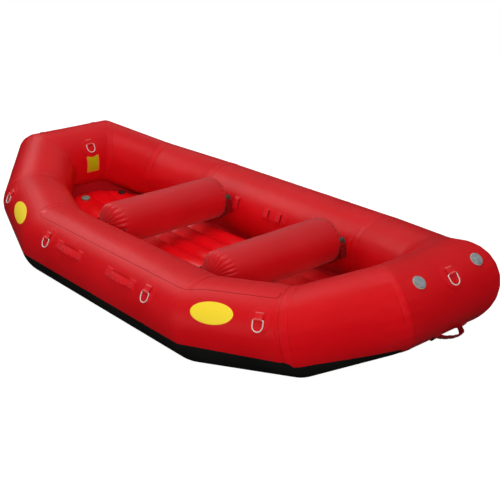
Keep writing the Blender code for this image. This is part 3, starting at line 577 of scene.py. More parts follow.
def edge_line(name, ls, phis, sx, sy, width=0.0030, height=0.0009, mat=None, closed=False, both_ends=False):
    """A fine glued edge along a path on the tubes, coloured a darker red as painted shade along its step: ls are path
    positions, phis carried angles.
    """
    ls, phis = np.asarray(ls, float), np.asarray(phis, float)
    n = len(ls)
    dl = np.gradient(ls) if not closed else (np.roll(ls, -1) - np.roll(ls, 1)) / 2
    dp = (np.gradient(phis) if not closed else (np.roll(phis, -1) - np.roll(phis, 1)) / 2) * math.pi / 180 * 0.24
    size = np.hypot(dl, dp) + 1e-9
    ol, op = -dp / size, dl / size
    rows = []
    for f, h in ((-0.5, -0.0006), (-0.42, height), (0.0, height * 1.25), (0.42, height), (0.5, -0.0006)):
        rows.append(np.array([tube([ls[i] + ol[i] * f * width], [phis[i] + math.degrees(op[i] * f * width / 0.24)], h)[0, 0] for i in range(n)]))
    p = np.array(rows)
    verts = p.reshape(-1, 3)
    faces = list(map(tuple, grid_faces(5, n, close_m=closed)))
    f0 = faces[(5 // 2) * (n if closed else n - 1)]
    k = int(np.clip(np.searchsorted(NODE_AT, ls[0], side="right") - 1, 0, 3))
    centre = CENTRE[k] + U[k] * (ls[0] - NODE_AT[k])
    if np.cross(verts[f0[1]] - verts[f0[0]], verts[f0[2]] - verts[f0[0]]).dot(verts[f0[0]] - centre) < 0:
        faces = [tuple(reversed(f)) for f in faces]
    verts, faces = mirrored(verts, faces, sx, sy)
    uv = np.zeros((5, n, 2))
    uv[..., 0] = np.arange(n)[None, :] * 0.01
    uv[..., 1] = np.array([0, 0.2, 0.5, 0.8, 1.0])[:, None] * width
    return make(name, verts, faces, mat or EDGE_SHADE_RED, uv=uv.reshape(-1, 2))


for quarter, sx, sy in QUARTERS:
    for k in range(3):
        for tag, off in (("a", -0.026), ("b", 0.026)):
            phi = np.arange(96) * 3.75
            wav = 0.0012 * np.sin(np.radians(phi) * 5 + k)
            # the darker painted shade on the first seam and one side of the second, the fainter one elsewhere
            shade = TAPE_EDGE_SHADE if k == 0 or (tag == "a" and k == 1) else FAINT_EDGE_SHADE
            edge_line("%s_tape_edge_%d%s" % (quarter, k, tag), NODE_AT[k + 1] + off + wav, phi, sx, sy, width=0.0022, height=0.0006, mat=shade, closed=True)


def local_to_carried(k, local):
    e = math.cos(math.radians(local)) * H[k] + math.sin(math.radians(local)) * V[k]
    return math.degrees(math.atan2(e.dot(CV[k]), e.dot(CH[k])))


# ---------------------------------------------------------------- chafe strips
def chafe_edges(l):
    """(upper, lower) carried angle of the strip's edges at path position l."""
    k = int(np.clip(np.searchsorted(NODE_AT, l, side="right") - 1, 0, 3))
    s = l - NODE_AT[k]
    r = radius_at(k, s)
    zc = CENTRE[k][2] + U[k][2] * s
    tops = [(NODE_AT[0], 0.197), (NODE_AT[1], 0.197), (NODE_AT[2], 0.252), (NODE_AT[2] + 0.25, 0.290), (NODE_AT[3], 0.334)]
    ztop = np.interp(l, [a for a, _ in tops], [b + LIFT for _, b in tops])
    up_ang = math.degrees(math.asin(np.clip((ztop - zc) / (r * V[k][2]), -1, 1)))
    low_ang = -(180 - math.degrees(math.acos(0.105 / r)))
    return local_to_carried(k, up_ang), local_to_carried(k, low_ang)


half_path = [x for x in path_samples(0.03) if x <= NODE_AT[3] - BEND + 1e-6]
for name, sy in (("left", 1), ("right", -1)):
    tops, lows, grid_top, grid_low = [], [], [], []
    edges = np.array([chafe_edges(l) for l in half_path])
    # the two segments beside a mitre give slightly different angles there, so the edges are eased together
    for _ in range(3):
        edges[1:-1] = 0.25 * edges[:-2] + 0.5 * edges[1:-1] + 0.25 * edges[2:]
    f = np.linspace(0, 1, 61)
    rise = np.minimum(1.0, np.minimum(f, 1 - f) / 0.012)
    for l, (a, b) in zip(half_path, edges):
        phi = a + (b - a) * f
        endfade = min(1.0, (half_path[-1] - l) / 0.006 + 0.0)
        grid_top.append(tube([l], phi, (0.0002 + 0.0016 * rise * max(endfade, 0.0))[None, :])[0])
        grid_low.append(tube([l], phi, np.full((1, 61), -0.0006))[0])
    top, low = np.array(grid_top), np.array(grid_low)
    flip_x = np.array([-1.0, 1.0, 1.0])
    top = np.concatenate([top[:0:-1] * flip_x, top])
    low = np.concatenate([low[:0:-1] * flip_x, low])
    verts, faces, uv = slab(top, low)
    verts, faces = mirrored(verts, faces, 1, sy)
    verts[:, 2] = np.maximum(verts[:, 2], 0.0)
    obj = make(name + "_chafe", verts, outward(verts, faces), BLACK, uv=uv)
    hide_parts(name + "_chafe_strip")

# ---------------------------------------------------------------- outer wear panels
PANEL_END = NODE_AT[2] - 0.044
PANEL_CORNER = 0.024


def panel_top(l):
    """Carried angle of the panel's upper edge."""
    a0, a1 = local_to_carried(0, 58.5), local_to_carried(1, 66.0)
    return np.interp(l, [0.0, NODE_AT[1] - 0.05, NODE_AT[1] + 0.12, PANEL_END], [a0, a0, a1, a1])


for name, sy in (("left", 1), ("right", -1)):
    ls = np.array([x for x in path_samples(0.03) if x < PANEL_END - 0.004] + [PANEL_END - 0.003, PANEL_END])
    rows, lows = [], []
    f = np.linspace(0, 1, 49)
    for l in ls:
        a, b = panel_top(l), chafe_edges(l)[0] - 3.0
        phi = b + (a - b) * f
        over = np.minimum(1.0, (1 - f) / 0.015)
        over = over * min(1.0, (ls[-1] - l) / 0.003 + 0.0)
        rows.append(tube([l], phi, (0.0003 + 0.0008 * over)[None, :])[0])
        lows.append(tube([l], phi, np.full((1, 49), -0.0008))[0])
    top, low = np.array(rows), np.array(lows)
    flip_x = np.array([-1.0, 1.0, 1.0])
    top = np.concatenate([top[:0:-1] * flip_x, top])
    low = np.concatenate([low[:0:-1] * flip_x, low])
    verts, faces, uv = slab(top, low)
    verts, faces = mirrored(verts, faces, 1, sy)
    make(name + "_wear_panel", verts, outward(verts, faces), RED, uv=uv)
    for tag, sx in (("fore", 1), ("aft", -1)):
        run = np.array([x for x in path_samples(0.03) if x < (PANEL_END - PANEL_CORNER if sx > 0 else NODE_AT[1] - 0.03)])
        line_l, line_p = run, np.array([panel_top(x) for x in run])
        if sx > 0:
            # round a corner and up beside the seam
            turn = np.linspace(0, math.pi / 2, 9)
            line_l = np.concatenate([run, PANEL_END - PANEL_CORNER + PANEL_CORNER * np.sin(turn), PANEL_END + 0.004 * np.linspace(0, 1, 5)])
            line_p = np.concatenate([line_p, panel_top(PANEL_END) + np.degrees(PANEL_CORNER * (1 - np.cos(turn)) / 0.24),
                                     panel_top(PANEL_END) + np.degrees(PANEL_CORNER / 0.24) + np.linspace(0.8, 5.0, 5)])
        # the panel's edge line, in the darker red of painted shade
        edge_line("%s_panel_edge_%s" % (name, tag), line_l, line_p, sx, sy, width=0.0034, height=0.0013)

# ================================================================ thwarts
def thwart_radius(y, theta, seed):
    """Radius of a thwart at y, with its gathered ends."""
    t = np.clip((np.abs(y) - 0.405) / 0.084, 0, 1)
    body = THWART_R * np.sqrt(np.clip(1 - t ** 3.2, 0, 1))
    side = np.where(y > 0, 2.1, 0.0) + seed
    gather = np.clip((np.abs(y) - 0.392) / 0.042, 0, 1) ** 1.2
    warped = theta + 0.08 * np.sin(2 * theta + side) + 0.04 * np.sin(5 * theta + 2 * side)
    lobes = 1 - np.abs(np.sin(13 * warped + side)) ** 0.8
    size = (0.0100 + 0.0035 * np.sin(3 * theta + side) * np.sin(2 * theta + 1.7 * side)) * np.where(y > 0, 0.35, 1.0)
    soft = 0.0010 * np.sin(3 * theta + 7 * y) + 0.0007 * np.sin(17 * y + 2 * theta)
    return body - size * lobes * gather * np.clip(body / 0.09, 0, 1) + (soft - 0.0010) * np.clip(body / 0.1, 0, 1)


for name, x in (("front_thwart", THWART_X), ("rear_thwart", -THWART_X)):
    ys = np.concatenate([-0.489 + 0.084 * (1 - np.cos(np.linspace(0, math.pi / 2, 22))), np.linspace(-0.400, 0.400, 60), 0.489 - 0.084 * (1 - np.cos(np.linspace(math.pi / 2, 0, 22)))])
    theta = np.arange(364) * 2 * math.pi / 364
    yy, tt = np.meshgrid(ys, theta, indexing="ij")
    r = thwart_radius(yy, tt, 5 if x > 0 else 8)
    p = np.stack([x + r * np.cos(tt), yy, THWART_Z + r * np.sin(tt)], axis=-1)
    n, m = p.shape[:2]
    faces = list(map(tuple, grid_faces(n, m, close_m=True)))
    verts = p.reshape(-1, 3)
    faces.append(tuple(range(m)))
    faces.append(tuple(reversed(range((n - 1) * m, n * m))))
    uv = np.stack([yy, tt * THWART_R], axis=-1).reshape(-1, 2)
    verts2 = verts
    faces = outward(verts2, faces)
    obj = make(name + "_tube", verts2, faces, THWART_RED, uv=uv)
    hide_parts(name)

# ================================================================ floor
FLOOR_PITCH, FLOOR_CELLS = 0.150, 6
FLOOR_TOP, FLOOR_VALLEY, FLOOR_BOTTOM = 0.1350, 0.1060, 0.0080
FLOOR_RISE, FLOOR_RISE_FROM = 0.098, 0.80
FLOOR_OUTLINE = ((0.45, 1.14), (0.42, 1.25), (0.375, 1.375), (0.34, 1.445), (0.30, 1.505), (0.225, 1.578), (0.15, 1.635), (0.075, 1.66), (0.0, 1.668))
FLOOR_CLEAR = 0.009


def floor_rise(x):
    t = np.maximum(0.0, np.abs(x) - FLOOR_RISE_FROM) / (1.66 - FLOOR_RISE_FROM)
    return FLOOR_RISE * t * t


def floor_reach(y):
    """How far the floor runs fore and aft at this distance from the centreline."""
    ys, reach = zip(*FLOOR_OUTLINE[::-1])
    return np.interp(np.abs(y), ys, reach)


def tube_room(p):
    """The distance from points to the nearest tube's skin."""
    p = np.abs(p)
    best = None
    for k in range(4):
        along = np.clip((p - CENTRE[k]) @ U[k], 0, LEN[k])
        room = np.linalg.norm(p - CENTRE[k] - along[..., None] * U[k], axis=-1) - radius_at(k, along)
        best = room if best is None else np.minimum(best, room)
    return best


def cell_arc(y):
    """1 on a cell's crest, 0 between two cells, on an arc of a circle, with a tight seam."""
    sag, half_cell = FLOOR_TOP - FLOOR_VALLEY, FLOOR_PITCH / 2
    across = (y + FLOOR_CELLS * FLOOR_PITCH / 2) % FLOOR_PITCH - half_cell
    radius = (half_cell ** 2 + sag ** 2) / (2 * sag)
    return (np.sqrt(radius ** 2 - across ** 2) - (radius - sag)) / sag


inner_x = np.linspace(-FLOOR_RISE_FROM, FLOOR_RISE_FROM, 121)
outer_t = np.concatenate([np.linspace(0, 0.86, 44)[1:], 0.86 + 0.14 * np.sin(np.linspace(0, math.pi / 2, 16))[1:]])
cell = FLOOR_PITCH * 0.5 * (1 - np.cos(np.linspace(0, math.pi, 31)))
columns = np.concatenate([[-0.45 + FLOOR_PITCH * i + c for c in (cell if i == 5 else cell[:-1])] for i in range(6)])
tops, lows = [], []
for y in columns:
    reach = float(floor_reach(y))
    out_x = FLOOR_RISE_FROM + (reach - FLOOR_RISE_FROM) * outer_t
    x = np.concatenate([-out_x[::-1], inner_x, out_x])
    crest = float(cell_arc(np.clip(y, -0.44999, 0.44999)))
    from_end = np.clip((reach - np.abs(x)) / 0.045, 0, 1)
    edge = 0.30 + 0.70 * np.sqrt(1 - (1 - from_end) ** 2)
    from_side = min(1.0, (0.45 - abs(y)) / 0.030)
    rim = 0.50 + 0.50 * math.sqrt(max(0.0, 1 - (1 - from_side) ** 2))
    middle = (FLOOR_VALLEY + FLOOR_BOTTOM) / 2
    base = floor_rise(x) + LIFT
    # the webs inside pull short puckers across each valley
    valley = math.exp(-((min(crest, 1.0) / 0.30) ** 2))
    pucker = 0.0011 * valley * np.sin(x * 150 + 3 * math.floor(y / 0.075)) - 0.0050 * valley
    swell = 0.0009 * np.sin(x * 5.1 + 9 * y) + 0.0006 * np.sin(x * 13.7 - 21 * y)
    # the cells run flatter towards the ends
    flat = 0.62 * np.clip((np.abs(x) - 1.05) / 0.35, 0, 1)
    full = crest + (1 - crest) * flat
    up = (FLOOR_VALLEY + (FLOOR_TOP - FLOOR_VALLEY) * full - middle + pucker * (1 - flat) + swell - 0.0010) * edge * rim
    down = (FLOOR_BOTTOM + 0.016 * (1 - crest) - middle) * edge * rim
    top = np.stack([x, np.full_like(x, y), base + middle + up], axis=-1)
    for _ in range(90):
        close = tube_room(top) < FLOOR_CLEAR
        if not close.any():
            break
        top[close, 2] -= 0.001
    low = np.stack([x, np.full_like(x, y), np.minimum(base + middle + down, top[:, 2] - 0.004)], axis=-1)
    tops.append(top)
    lows.append(low)
top, low = np.array(tops), np.array(lows)
# the pressed-down places are eased so that they read as one soft dent
for _ in range(4):
    z = top[..., 2]
    z[1:-1, 1:-1] = 0.5 * z[1:-1, 1:-1] + 0.125 * (z[:-2, 1:-1] + z[2:, 1:-1] + z[1:-1, :-2] + z[1:-1, 2:])
verts, faces, uv = slab(top, low, uv=np.stack([top[..., 0], top[..., 1]], axis=-1))
floor_piece = make("floor_skin", verts, faces, FLOOR_RED, uv=uv, sharp=80)
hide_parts("floor")

# the lacing flange: fabric bonded to the floor's rim and to the tubes, all the way round
for quarter, sx, sy in QUARTERS:
    ls = np.array([x for x in path_samples(0.02)])
    phi = np.interp(ls, [0.0, NODE_AT[1], NODE_AT[2], NODE_AT[3], NODE_AT[4]], [-136.0, -134.0, -122.0, -112.0, -110.0])
    on_skin = np.array([tube([l], [a], -0.0040)[0, 0] for l, a in zip(ls, phi)])
    ys = np.linspace(0.45, 0.0, 120)
    rim_pts = np.concatenate([np.stack([np.linspace(0, 1.12, 80), np.full(80, 0.45)], axis=-1), np.stack([floor_reach(ys), ys], axis=-1)])
    run = np.concatenate([[0], np.cumsum(np.linalg.norm(np.diff(rim_pts, axis=0), axis=1))])
    rim_at = []
    for q in on_skin:
        d = np.linalg.norm(rim_pts - q[:2], axis=1)
        rim_at.append(run[int(np.argmin(d))])
    rim_at = np.maximum.accumulate(rim_at)
    for _ in range(6):
        rim_at[1:-1] = 0.25 * rim_at[:-2] + 0.5 * rim_at[1:-1] + 0.25 * rim_at[2:]
    rim_at[0], rim_at[-1] = 0.0, run[-1]
    rx, ry = np.interp(rim_at, run, rim_pts[:, 0]), np.interp(rim_at, run, rim_pts[:, 1])
    inward = np.stack([rx * 0.994, np.maximum(ry - 0.006, 0.0)], axis=-1)
    rz = floor_rise(rx) + LIFT + (FLOOR_VALLEY + FLOOR_BOTTOM) / 2
    on_rim = np.stack([inward[:, 0], inward[:, 1], rz], axis=-1)
    on_rim[-1, 1] = 0.0
    f = np.linspace(0, 1, 9)[None, :, None]
    sheet = on_rim[:, None] * (1 - f) + on_skin[:, None] * f
    sheet[..., 2] -= 0.006 * np.sin(np.pi * f[..., 0])
    verts, faces, uv = slab(sheet + np.array([0, 0, 0.0007]), sheet - np.array([0, 0, 0.0007]))
    verts, faces = mirrored(verts, faces, sx, sy)
    make(quarter + "_floor_flange", verts, outward(verts, faces), FLANGE_RED, uv=uv)

# ================================================================ D-rings, patches and tabs
PATCH_R, SEAT, PATCH_T = 0.0725, 0.0015, 0.0020
WIRE_R, RING_HALF, RING_DROP, BAR_H = 0.0033, 0.0325, 0.0290, 0.0090
TAB_W, TAB_L = 0.0500, 0.0400


def frame_at(k, s0, angle):
    a = math.radians(angle)
    up_v = math.cos(a) * H[k] + math.sin(a) * V[k]
    girth = math.cos(a) * V[k] - math.sin(a) * H[k]
    origin = CENTRE[k] + U[k] * s0 + up_v * radius_at(k, s0)
    return origin, U[k], girth, up_v


def patch_mesh(k, s0, angle, seed):
    rho = np.array([0.0, 0.15, 0.3, 0.45, 0.6, 0.72, 0.82, 0.90, 0.96, 0.985, 1.0]) * PATCH_R
    th = np.arange(72) * 2 * math.pi / 72
    rr, tt = np.meshgrid(rho, th, indexing="ij")
    rim = np.clip((PATCH_R - rr) / 0.0022, 0, 1)
    hgt = 0.0003 + (SEAT + PATCH_T - 0.0003) * np.sqrt(np.clip(1 - (1 - rim) ** 2, 0, 1))
    hgt = hgt + 0.0005 * np.sin(3 * tt + seed) * (rr / PATCH_R) ** 2 + 0.0004 * np.sin(2 * tt + rr * 70 + seed)
    top = on_tube(k, s0, angle, rr * np.cos(tt), rr * np.sin(tt), hgt)
    skirt = on_tube(k, s0, angle, rr[-1] * np.cos(tt[-1]), rr[-1] * np.sin(tt[-1]), -0.001)
    p = np.concatenate([top, skirt[None]])
    n, m = p.shape[:2]
    verts = p.reshape(-1, 3)
    faces = list(map(tuple, grid_faces(n, m, close_m=True)))
    uv = np.stack([rr * np.cos(tt), rr * np.sin(tt)], axis=-1)
    uv = np.concatenate([uv, uv[-1:]]).reshape(-1, 2)
    o, _, _, nrm = frame_at(k, s0, angle)
    f0 = faces[m * 3]
    if np.cross(verts[f0[1]] - verts[f0[0]], verts[f0[2]] - verts[f0[0]]).dot(nrm) < 0:
        faces = [tuple(reversed(f)) for f in faces]
    return verts, faces, uv


def strip(path, across, width, thick, crown=0.0, m=9):
    """A flat webbing strip. path: (n, 3) centreline of its top, across: unit vector(s), thick: down from the top."""
    path = np.asarray(path, float)
    n = len(path)
    across = np.broadcast_to(np.asarray(across, float), (n, 3))
    t = np.gradient(path, axis=0)
    t /= np.linalg.norm(t, axis=1)[:, None]
    nrm = np.cross(t, across)
    nrm /= np.linalg.norm(nrm, axis=1)[:, None]
    f = np.linspace(-1, 1, m)
    edge = 1 - np.abs(f) ** 6
    top = path[:, None] + across[:, None] * (f * width / 2)[None, :, None] + nrm[:, None] * (crown * (1 - f ** 2) - 0.35 * thick * (1 - edge))[None, :, None]
    low = path[:, None] + across[:, None] * (f * width / 2)[None, :, None] + nrm[:, None] * (crown * (1 - f ** 2) - thick + 0.35 * thick * (1 - edge))[None, :, None]
    return slab(top, low)


def tab_path(k, s0, angle_bar, away):
    """Centreline of the webbing's outer face: along the patch, over the bar and back under."""
    origin, u, girth, up_v = frame_at(k, s0, angle_bar)
    girth = girth * away
    r = radius_at(k, s0)
    hole = WIRE_R + 0.0030

    def laid(dist, height):
        ang = dist / r
        return (r + height) * math.sin(ang), (r + height) * math.cos(ang) - r

    pts = [laid(TAB_L * f, SEAT + PATCH_T + 0.0050 + (0.0012 if f < 0.95 else 0)) for f in (1.0, 0.85, 0.7, 0.55, 0.42)]
    pts = [(b, h) for b, h in pts]
    for deg in range(60, -185, -15):
        pts.append((hole * math.cos(math.radians(deg + 60)) * 1.0, BAR_H + hole * math.sin(math.radians(deg + 60))))
    loop = [(hole * math.cos(math.radians(d)), BAR_H + hole * math.sin(math.radians(d))) for d in range(62, 301, 14)]
    pts = [laid(TAB_L * f, SEAT + PATCH_T + 0.0052) for f in (1.0, 0.85, 0.7, 0.55, 0.40)] + [(hole * 0.80, BAR_H + hole * 0.62)] + loop[1:]
    return np.array([origin + girth * b + up_v * h for b, h in pts]), u


def d_outline(corner=0.006):
    pts = []
    for i in range(5):
        t = math.radians(90.0 * i / 4)
        pts.append((-RING_HALF + corner * (1 - math.sin(t)), corner * (1 - math.cos(t))))
    left = sorted(pts, key=lambda q: q[1])
    arc = [(-RING_HALF * math.cos(math.pi * i / 20), RING_DROP + RING_HALF * math.sin(math.pi * i / 20)) for i in range(21)]
    right_side = [(-x, d) for x, d in left[::-1]]
    return left + arc + right_side


def d_ring(k, s0, angle_bar, away, lean):
    origin, u, girth, up_v = frame_at(k, s0, angle_bar)
    origin = origin + up_v * BAR_H
    down = -girth * away
    a = math.radians(lean)
    plane = down * math.cos(a) - up_v * math.sin(a)
    pts = [origin + u * x + plane * d for x, d in d_outline()]
    return sweep(pts, np.cross(u, plane), WIRE_R, 14, closed=True)


def stitches(k, s0, angle_bar, away, name, sx, sy):
    """A sewn box on the tab's tail."""
    origin, u, girth, up_v = frame_at(k, s0, angle_bar)
    girth = girth * away
    r = radius_at(k, s0)
    verts, faces = [], []

    def point(a, b):
        ang = b / r
        h = SEAT + PATCH_T + 0.0056
        return origin + u * a + girth * ((r + h) * math.sin(ang)) + up_v * ((r + h) * math.cos(ang) - r)

    corners = [(-0.018, 0.0175), (0.018, 0.0175), (0.018, 0.037), (-0.018, 0.037)]
    lines = [(corners[i], corners[(i + 1) % 4]) for i in range(4)] + [(corners[0], corners[2]), (corners[1], corners[3])]
    for (a0, b0), (a1, b1) in lines:
        length = math.hypot(a1 - a0, b1 - b0)
        count = max(2, int(length / 0.0036))
        for i in range(count):
            f0, f1 = (i + 0.15) / count, (i + 0.80) / count
            p, q = point(a0 + (a1 - a0) * f0, b0 + (b1 - b0) * f0), point(a0 + (a1 - a0) * f1, b0 + (b1 - b0) * f1)
            v, f = sweep([p - up_v * 0.0003, p + up_v * 0.0002, q + up_v * 0.0002, q - up_v * 0.0003], np.cross(u, girth) + 0.01 * u, 0.00045, 5)
            base = len(verts)
            verts += list(v)
            faces += [tuple(j + base for j in g) for g in f]
    verts, faces = mirrored(np.array(verts), faces, sx, sy)
    make(name + "_stitching", verts, faces, THREAD, uv=np.array(verts)[:, :2])


def anchor(name, k, s0, angle_patch, angle_bar, sx, sy, away=1, seed=0):
    verts, faces, uv = patch_mesh(k, s0, angle_patch, seed)
    verts, faces = mirrored(verts, faces, sx, sy)
    patch = make(name + "_round_patch", verts, faces, PATCH_RED, uv=uv)
    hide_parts(name + "_patch")
    path, across = tab_path(k, s0, angle_bar, away)
    verts, faces, uv = strip(path, across, TAB_W, 0.0020, m=11)
    verts, faces = mirrored(verts, faces, sx, sy)
    make(name + "_webbing_tab", verts, outward(verts, faces), WEB_LIT_RED, uv=uv)
    stitches(k, s0, angle_bar, away, name, sx, sy)
    origin, u, girth, up_v = frame_at(k, s0, angle_bar)
    girth = girth * away
    r = radius_at(k, s0)
    for tag, b, h, rad in (("top", 0.0385, SEAT + PATCH_T + 0.0044, 0.0042), ("ring", 0.0030, BAR_H + 0.0046, 0.0046)):
        # a stiff rolled fold across the tab, in pale pink: a painted highlight along the fold
        ang = b / r
        mid = origin + girth * ((r + h) * math.sin(ang)) + up_v * ((r + h) * math.cos(ang) - r)
        n_a = 25
        line = np.array([mid + u * a for a in np.linspace(-0.0240, 0.0240, n_a)])
        verts, faces = sweep(line, up_v, rad, 12)
        verts, faces = mirrored(verts, faces, sx, sy)
        make("%s_bar_%s" % (name, tag), verts, outward(verts, faces), BAR_PALE_HIGHLIGHT, uv=np.array(verts)[:, :2])
    verts, faces = d_ring(k, s0, angle_bar, away, 6.0)
    verts, faces = mirrored(verts, faces, sx, sy)
    ring = make(name + "_d_ring", verts, outward(verts, faces), STEEL, body=name + "_ring")
    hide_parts(name + "_ring")


for index, (quarter, sx, sy) in enumerate(QUARTERS):
    anchor(quarter + "_side", 0, 0.565, 35.0, 33.0, sx, sy, seed=index)
    anchor(quarter + "_corner", 1, 0.512, 33.0, 33.0, sx, sy, seed=index + 5)
anchor("bow", 3, LEN[3] - END_SHIFT, 44.0, 45.0, 1, 1, seed=3)
anchor("stern", 3, LEN[3] - END_SHIFT, 44.0, 45.0, -1, 1, seed=4)
anchor("stern_inner", 3, LEN[3] - END_SHIFT, 153.0, 147.0, -1, 1, away=-1, seed=6)

# ================================================================ valves
VALVE_Y, VALVE_ANGLE = 0.228, 51.0

CAP = [(0.0, 0.0110), (0.010, 0.0110), (0.0165, 0.0109), (0.0172, 0.0100), (0.0185, 0.0099), (0.0192, 0.0108), (0.0280, 0.0107), (0.0315, 0.0103), (0.0335, 0.0096), (0.0345, 0.0084), (0.0345, 0.0056), (0.0340, 0.0049), (0.0305, 0.0049), (0.0305, 0.0072), (0.0, 0.0072)]
BODY = [(0.0135, -0.0190), (0.0135, 0.0040), (0.0142, 0.0046), (0.0355, 0.0046), (0.0372, 0.0040), (0.0380, 0.0028), (0.0380, 0.0004), (0.0205, 0.0004), (0.0205, -0.0360), (0.0150, -0.0360), (0.0150, -0.0220), (0.0100, -0.0220), (0.0100, -0.0190), (0.0135, -0.0190)]


def knurl(k, i):
    return 1.0 - 0.018 * (9 <= k <= 11) * (1 if i % 4 < 2 else 0)


for quarter, sx, sy in QUARTERS:
    at_y = VALVE_Y * sy + END_SHIFT
    seat, _, _, axis = frame_at(3, LEN[3] - abs(at_y), VALVE_ANGLE)
    seat = seat * np.array([sx, sy, 1.0])
    axis = axis * np.array([sx, sy, 1.0])
    verts, faces, uv = turned(CAP, 128, seat, axis, wobble=knurl)
    cap = make(quarter + "_cap", verts, faces, GREY, body=quarter + "_valve_cap", uv=uv, sharp=35)
    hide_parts(quarter + "_valve_cap")
    # a raised grip bar across the cap
    x = unit(np.cross(axis, [0, 1, 0]))
    y = np.cross(axis, x)
    prof = np.linspace(-1, 1, 13)
    topg = np.array([[seat + axis * (0.0104 + 0.0026 * (1 - abs(a) ** 4) ** 0.5 * (1 - abs(b) ** 6) ** 0.5) + y * (a * 0.0150) + x * (b * 0.0034) for b in np.linspace(-1, 1, 7)] for a in prof])
    lowg = np.array([[seat + axis * 0.0100 + y * (a * 0.0150) + x * (b * 0.0034) for b in np.linspace(-1, 1, 7)] for a in prof])
    verts, faces, uv = slab(topg, lowg)
    make(quarter + "_cap_grip", verts, faces, GREY, body=quarter + "_valve_cap", uv=uv)
    verts, faces, uv = turned(BODY, 96, seat, axis)
    body = make(quarter + "_valve_flange", verts, faces, RIM_GREY, uv=uv, sharp=35)
    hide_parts(quarter + "_valve_body")
    NODES[quarter + "_valve_plunger"].data.materials.clear()
    NODES[quarter + "_valve_plunger"].data.materials.append(DARK)

# valves in the thwarts, their grey darkened as painted shade
for name, x in (("front_thwart", THWART_X), ("rear_thwart", -THWART_X)):
    lean, rise = math.radians(50.0), math.radians(12.0)
    axis = np.array([math.cos(lean) * math.cos(rise), math.sin(lean), math.cos(lean) * math.sin(rise)])
    seat = np.array([x + 0.1380 * math.cos(rise), 0.4690, THWART_Z + 0.1380 * math.sin(rise)])
    prof = [(0.0, 0.0170), (0.009, 0.0170), (0.0095, 0.0158), (0.0105, 0.0158), (0.011, 0.0169), (0.0215, 0.0167), (0.0242, 0.0159), (0.0257, 0.0143), (0.0260, 0.0130), (0.0260, 0.0085), (0.0165, 0.0080), (0.0165, -0.0300), (0.0, -0.0300)]
    verts, faces, uv = turned(prof, 96, seat, axis, toward=(0, 0, 1), wobble=lambda k, i: 1.0 - 0.02 * (7 <= k <= 9) * (1 if i % 4 < 2 else 0))
    valve = make(name + "_air_valve", verts, faces, THWART_VALVE_SHADED, uv=uv, sharp=35)
    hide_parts(name + "_valve")

# floor valves
for name, x, y, flange, mat, slot_name in (("floor_valve", -1.545, -0.075, 0.0330, FLOOR_GREY, "floor_valve_plastic"), ("floor_relief_valve", -1.500, 0.225, 0.0260, RELIEF, "relief_valve_plastic")):
    slope = (float(floor_rise(x + 0.01)) - float(floor_rise(x - 0.01))) / 0.02
    axis = unit(np.array([-slope, 0, 1.0]))
    seat = np.array([x, y, float(floor_rise(x)) + 0.1350 + LIFT - 0.001])
    f = flange
    prof = [(0.0, 0.0140), (0.30 * f, 0.0140), (0.33 * f, 0.0120), (0.38 * f, 0.0120), (0.41 * f, 0.0139), (0.80 * f, 0.0137), (0.93 * f, 0.0128), (f, 0.0105), (f, 0.0030), (0.0165, 0.0000), (0.0165, -0.0300), (0.0, -0.0300)]
    verts, faces, uv = turned(prof, 96, seat, axis)
    valve = make(name + "_cap", verts, faces, mat, uv=uv, sharp=35)
    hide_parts(name)


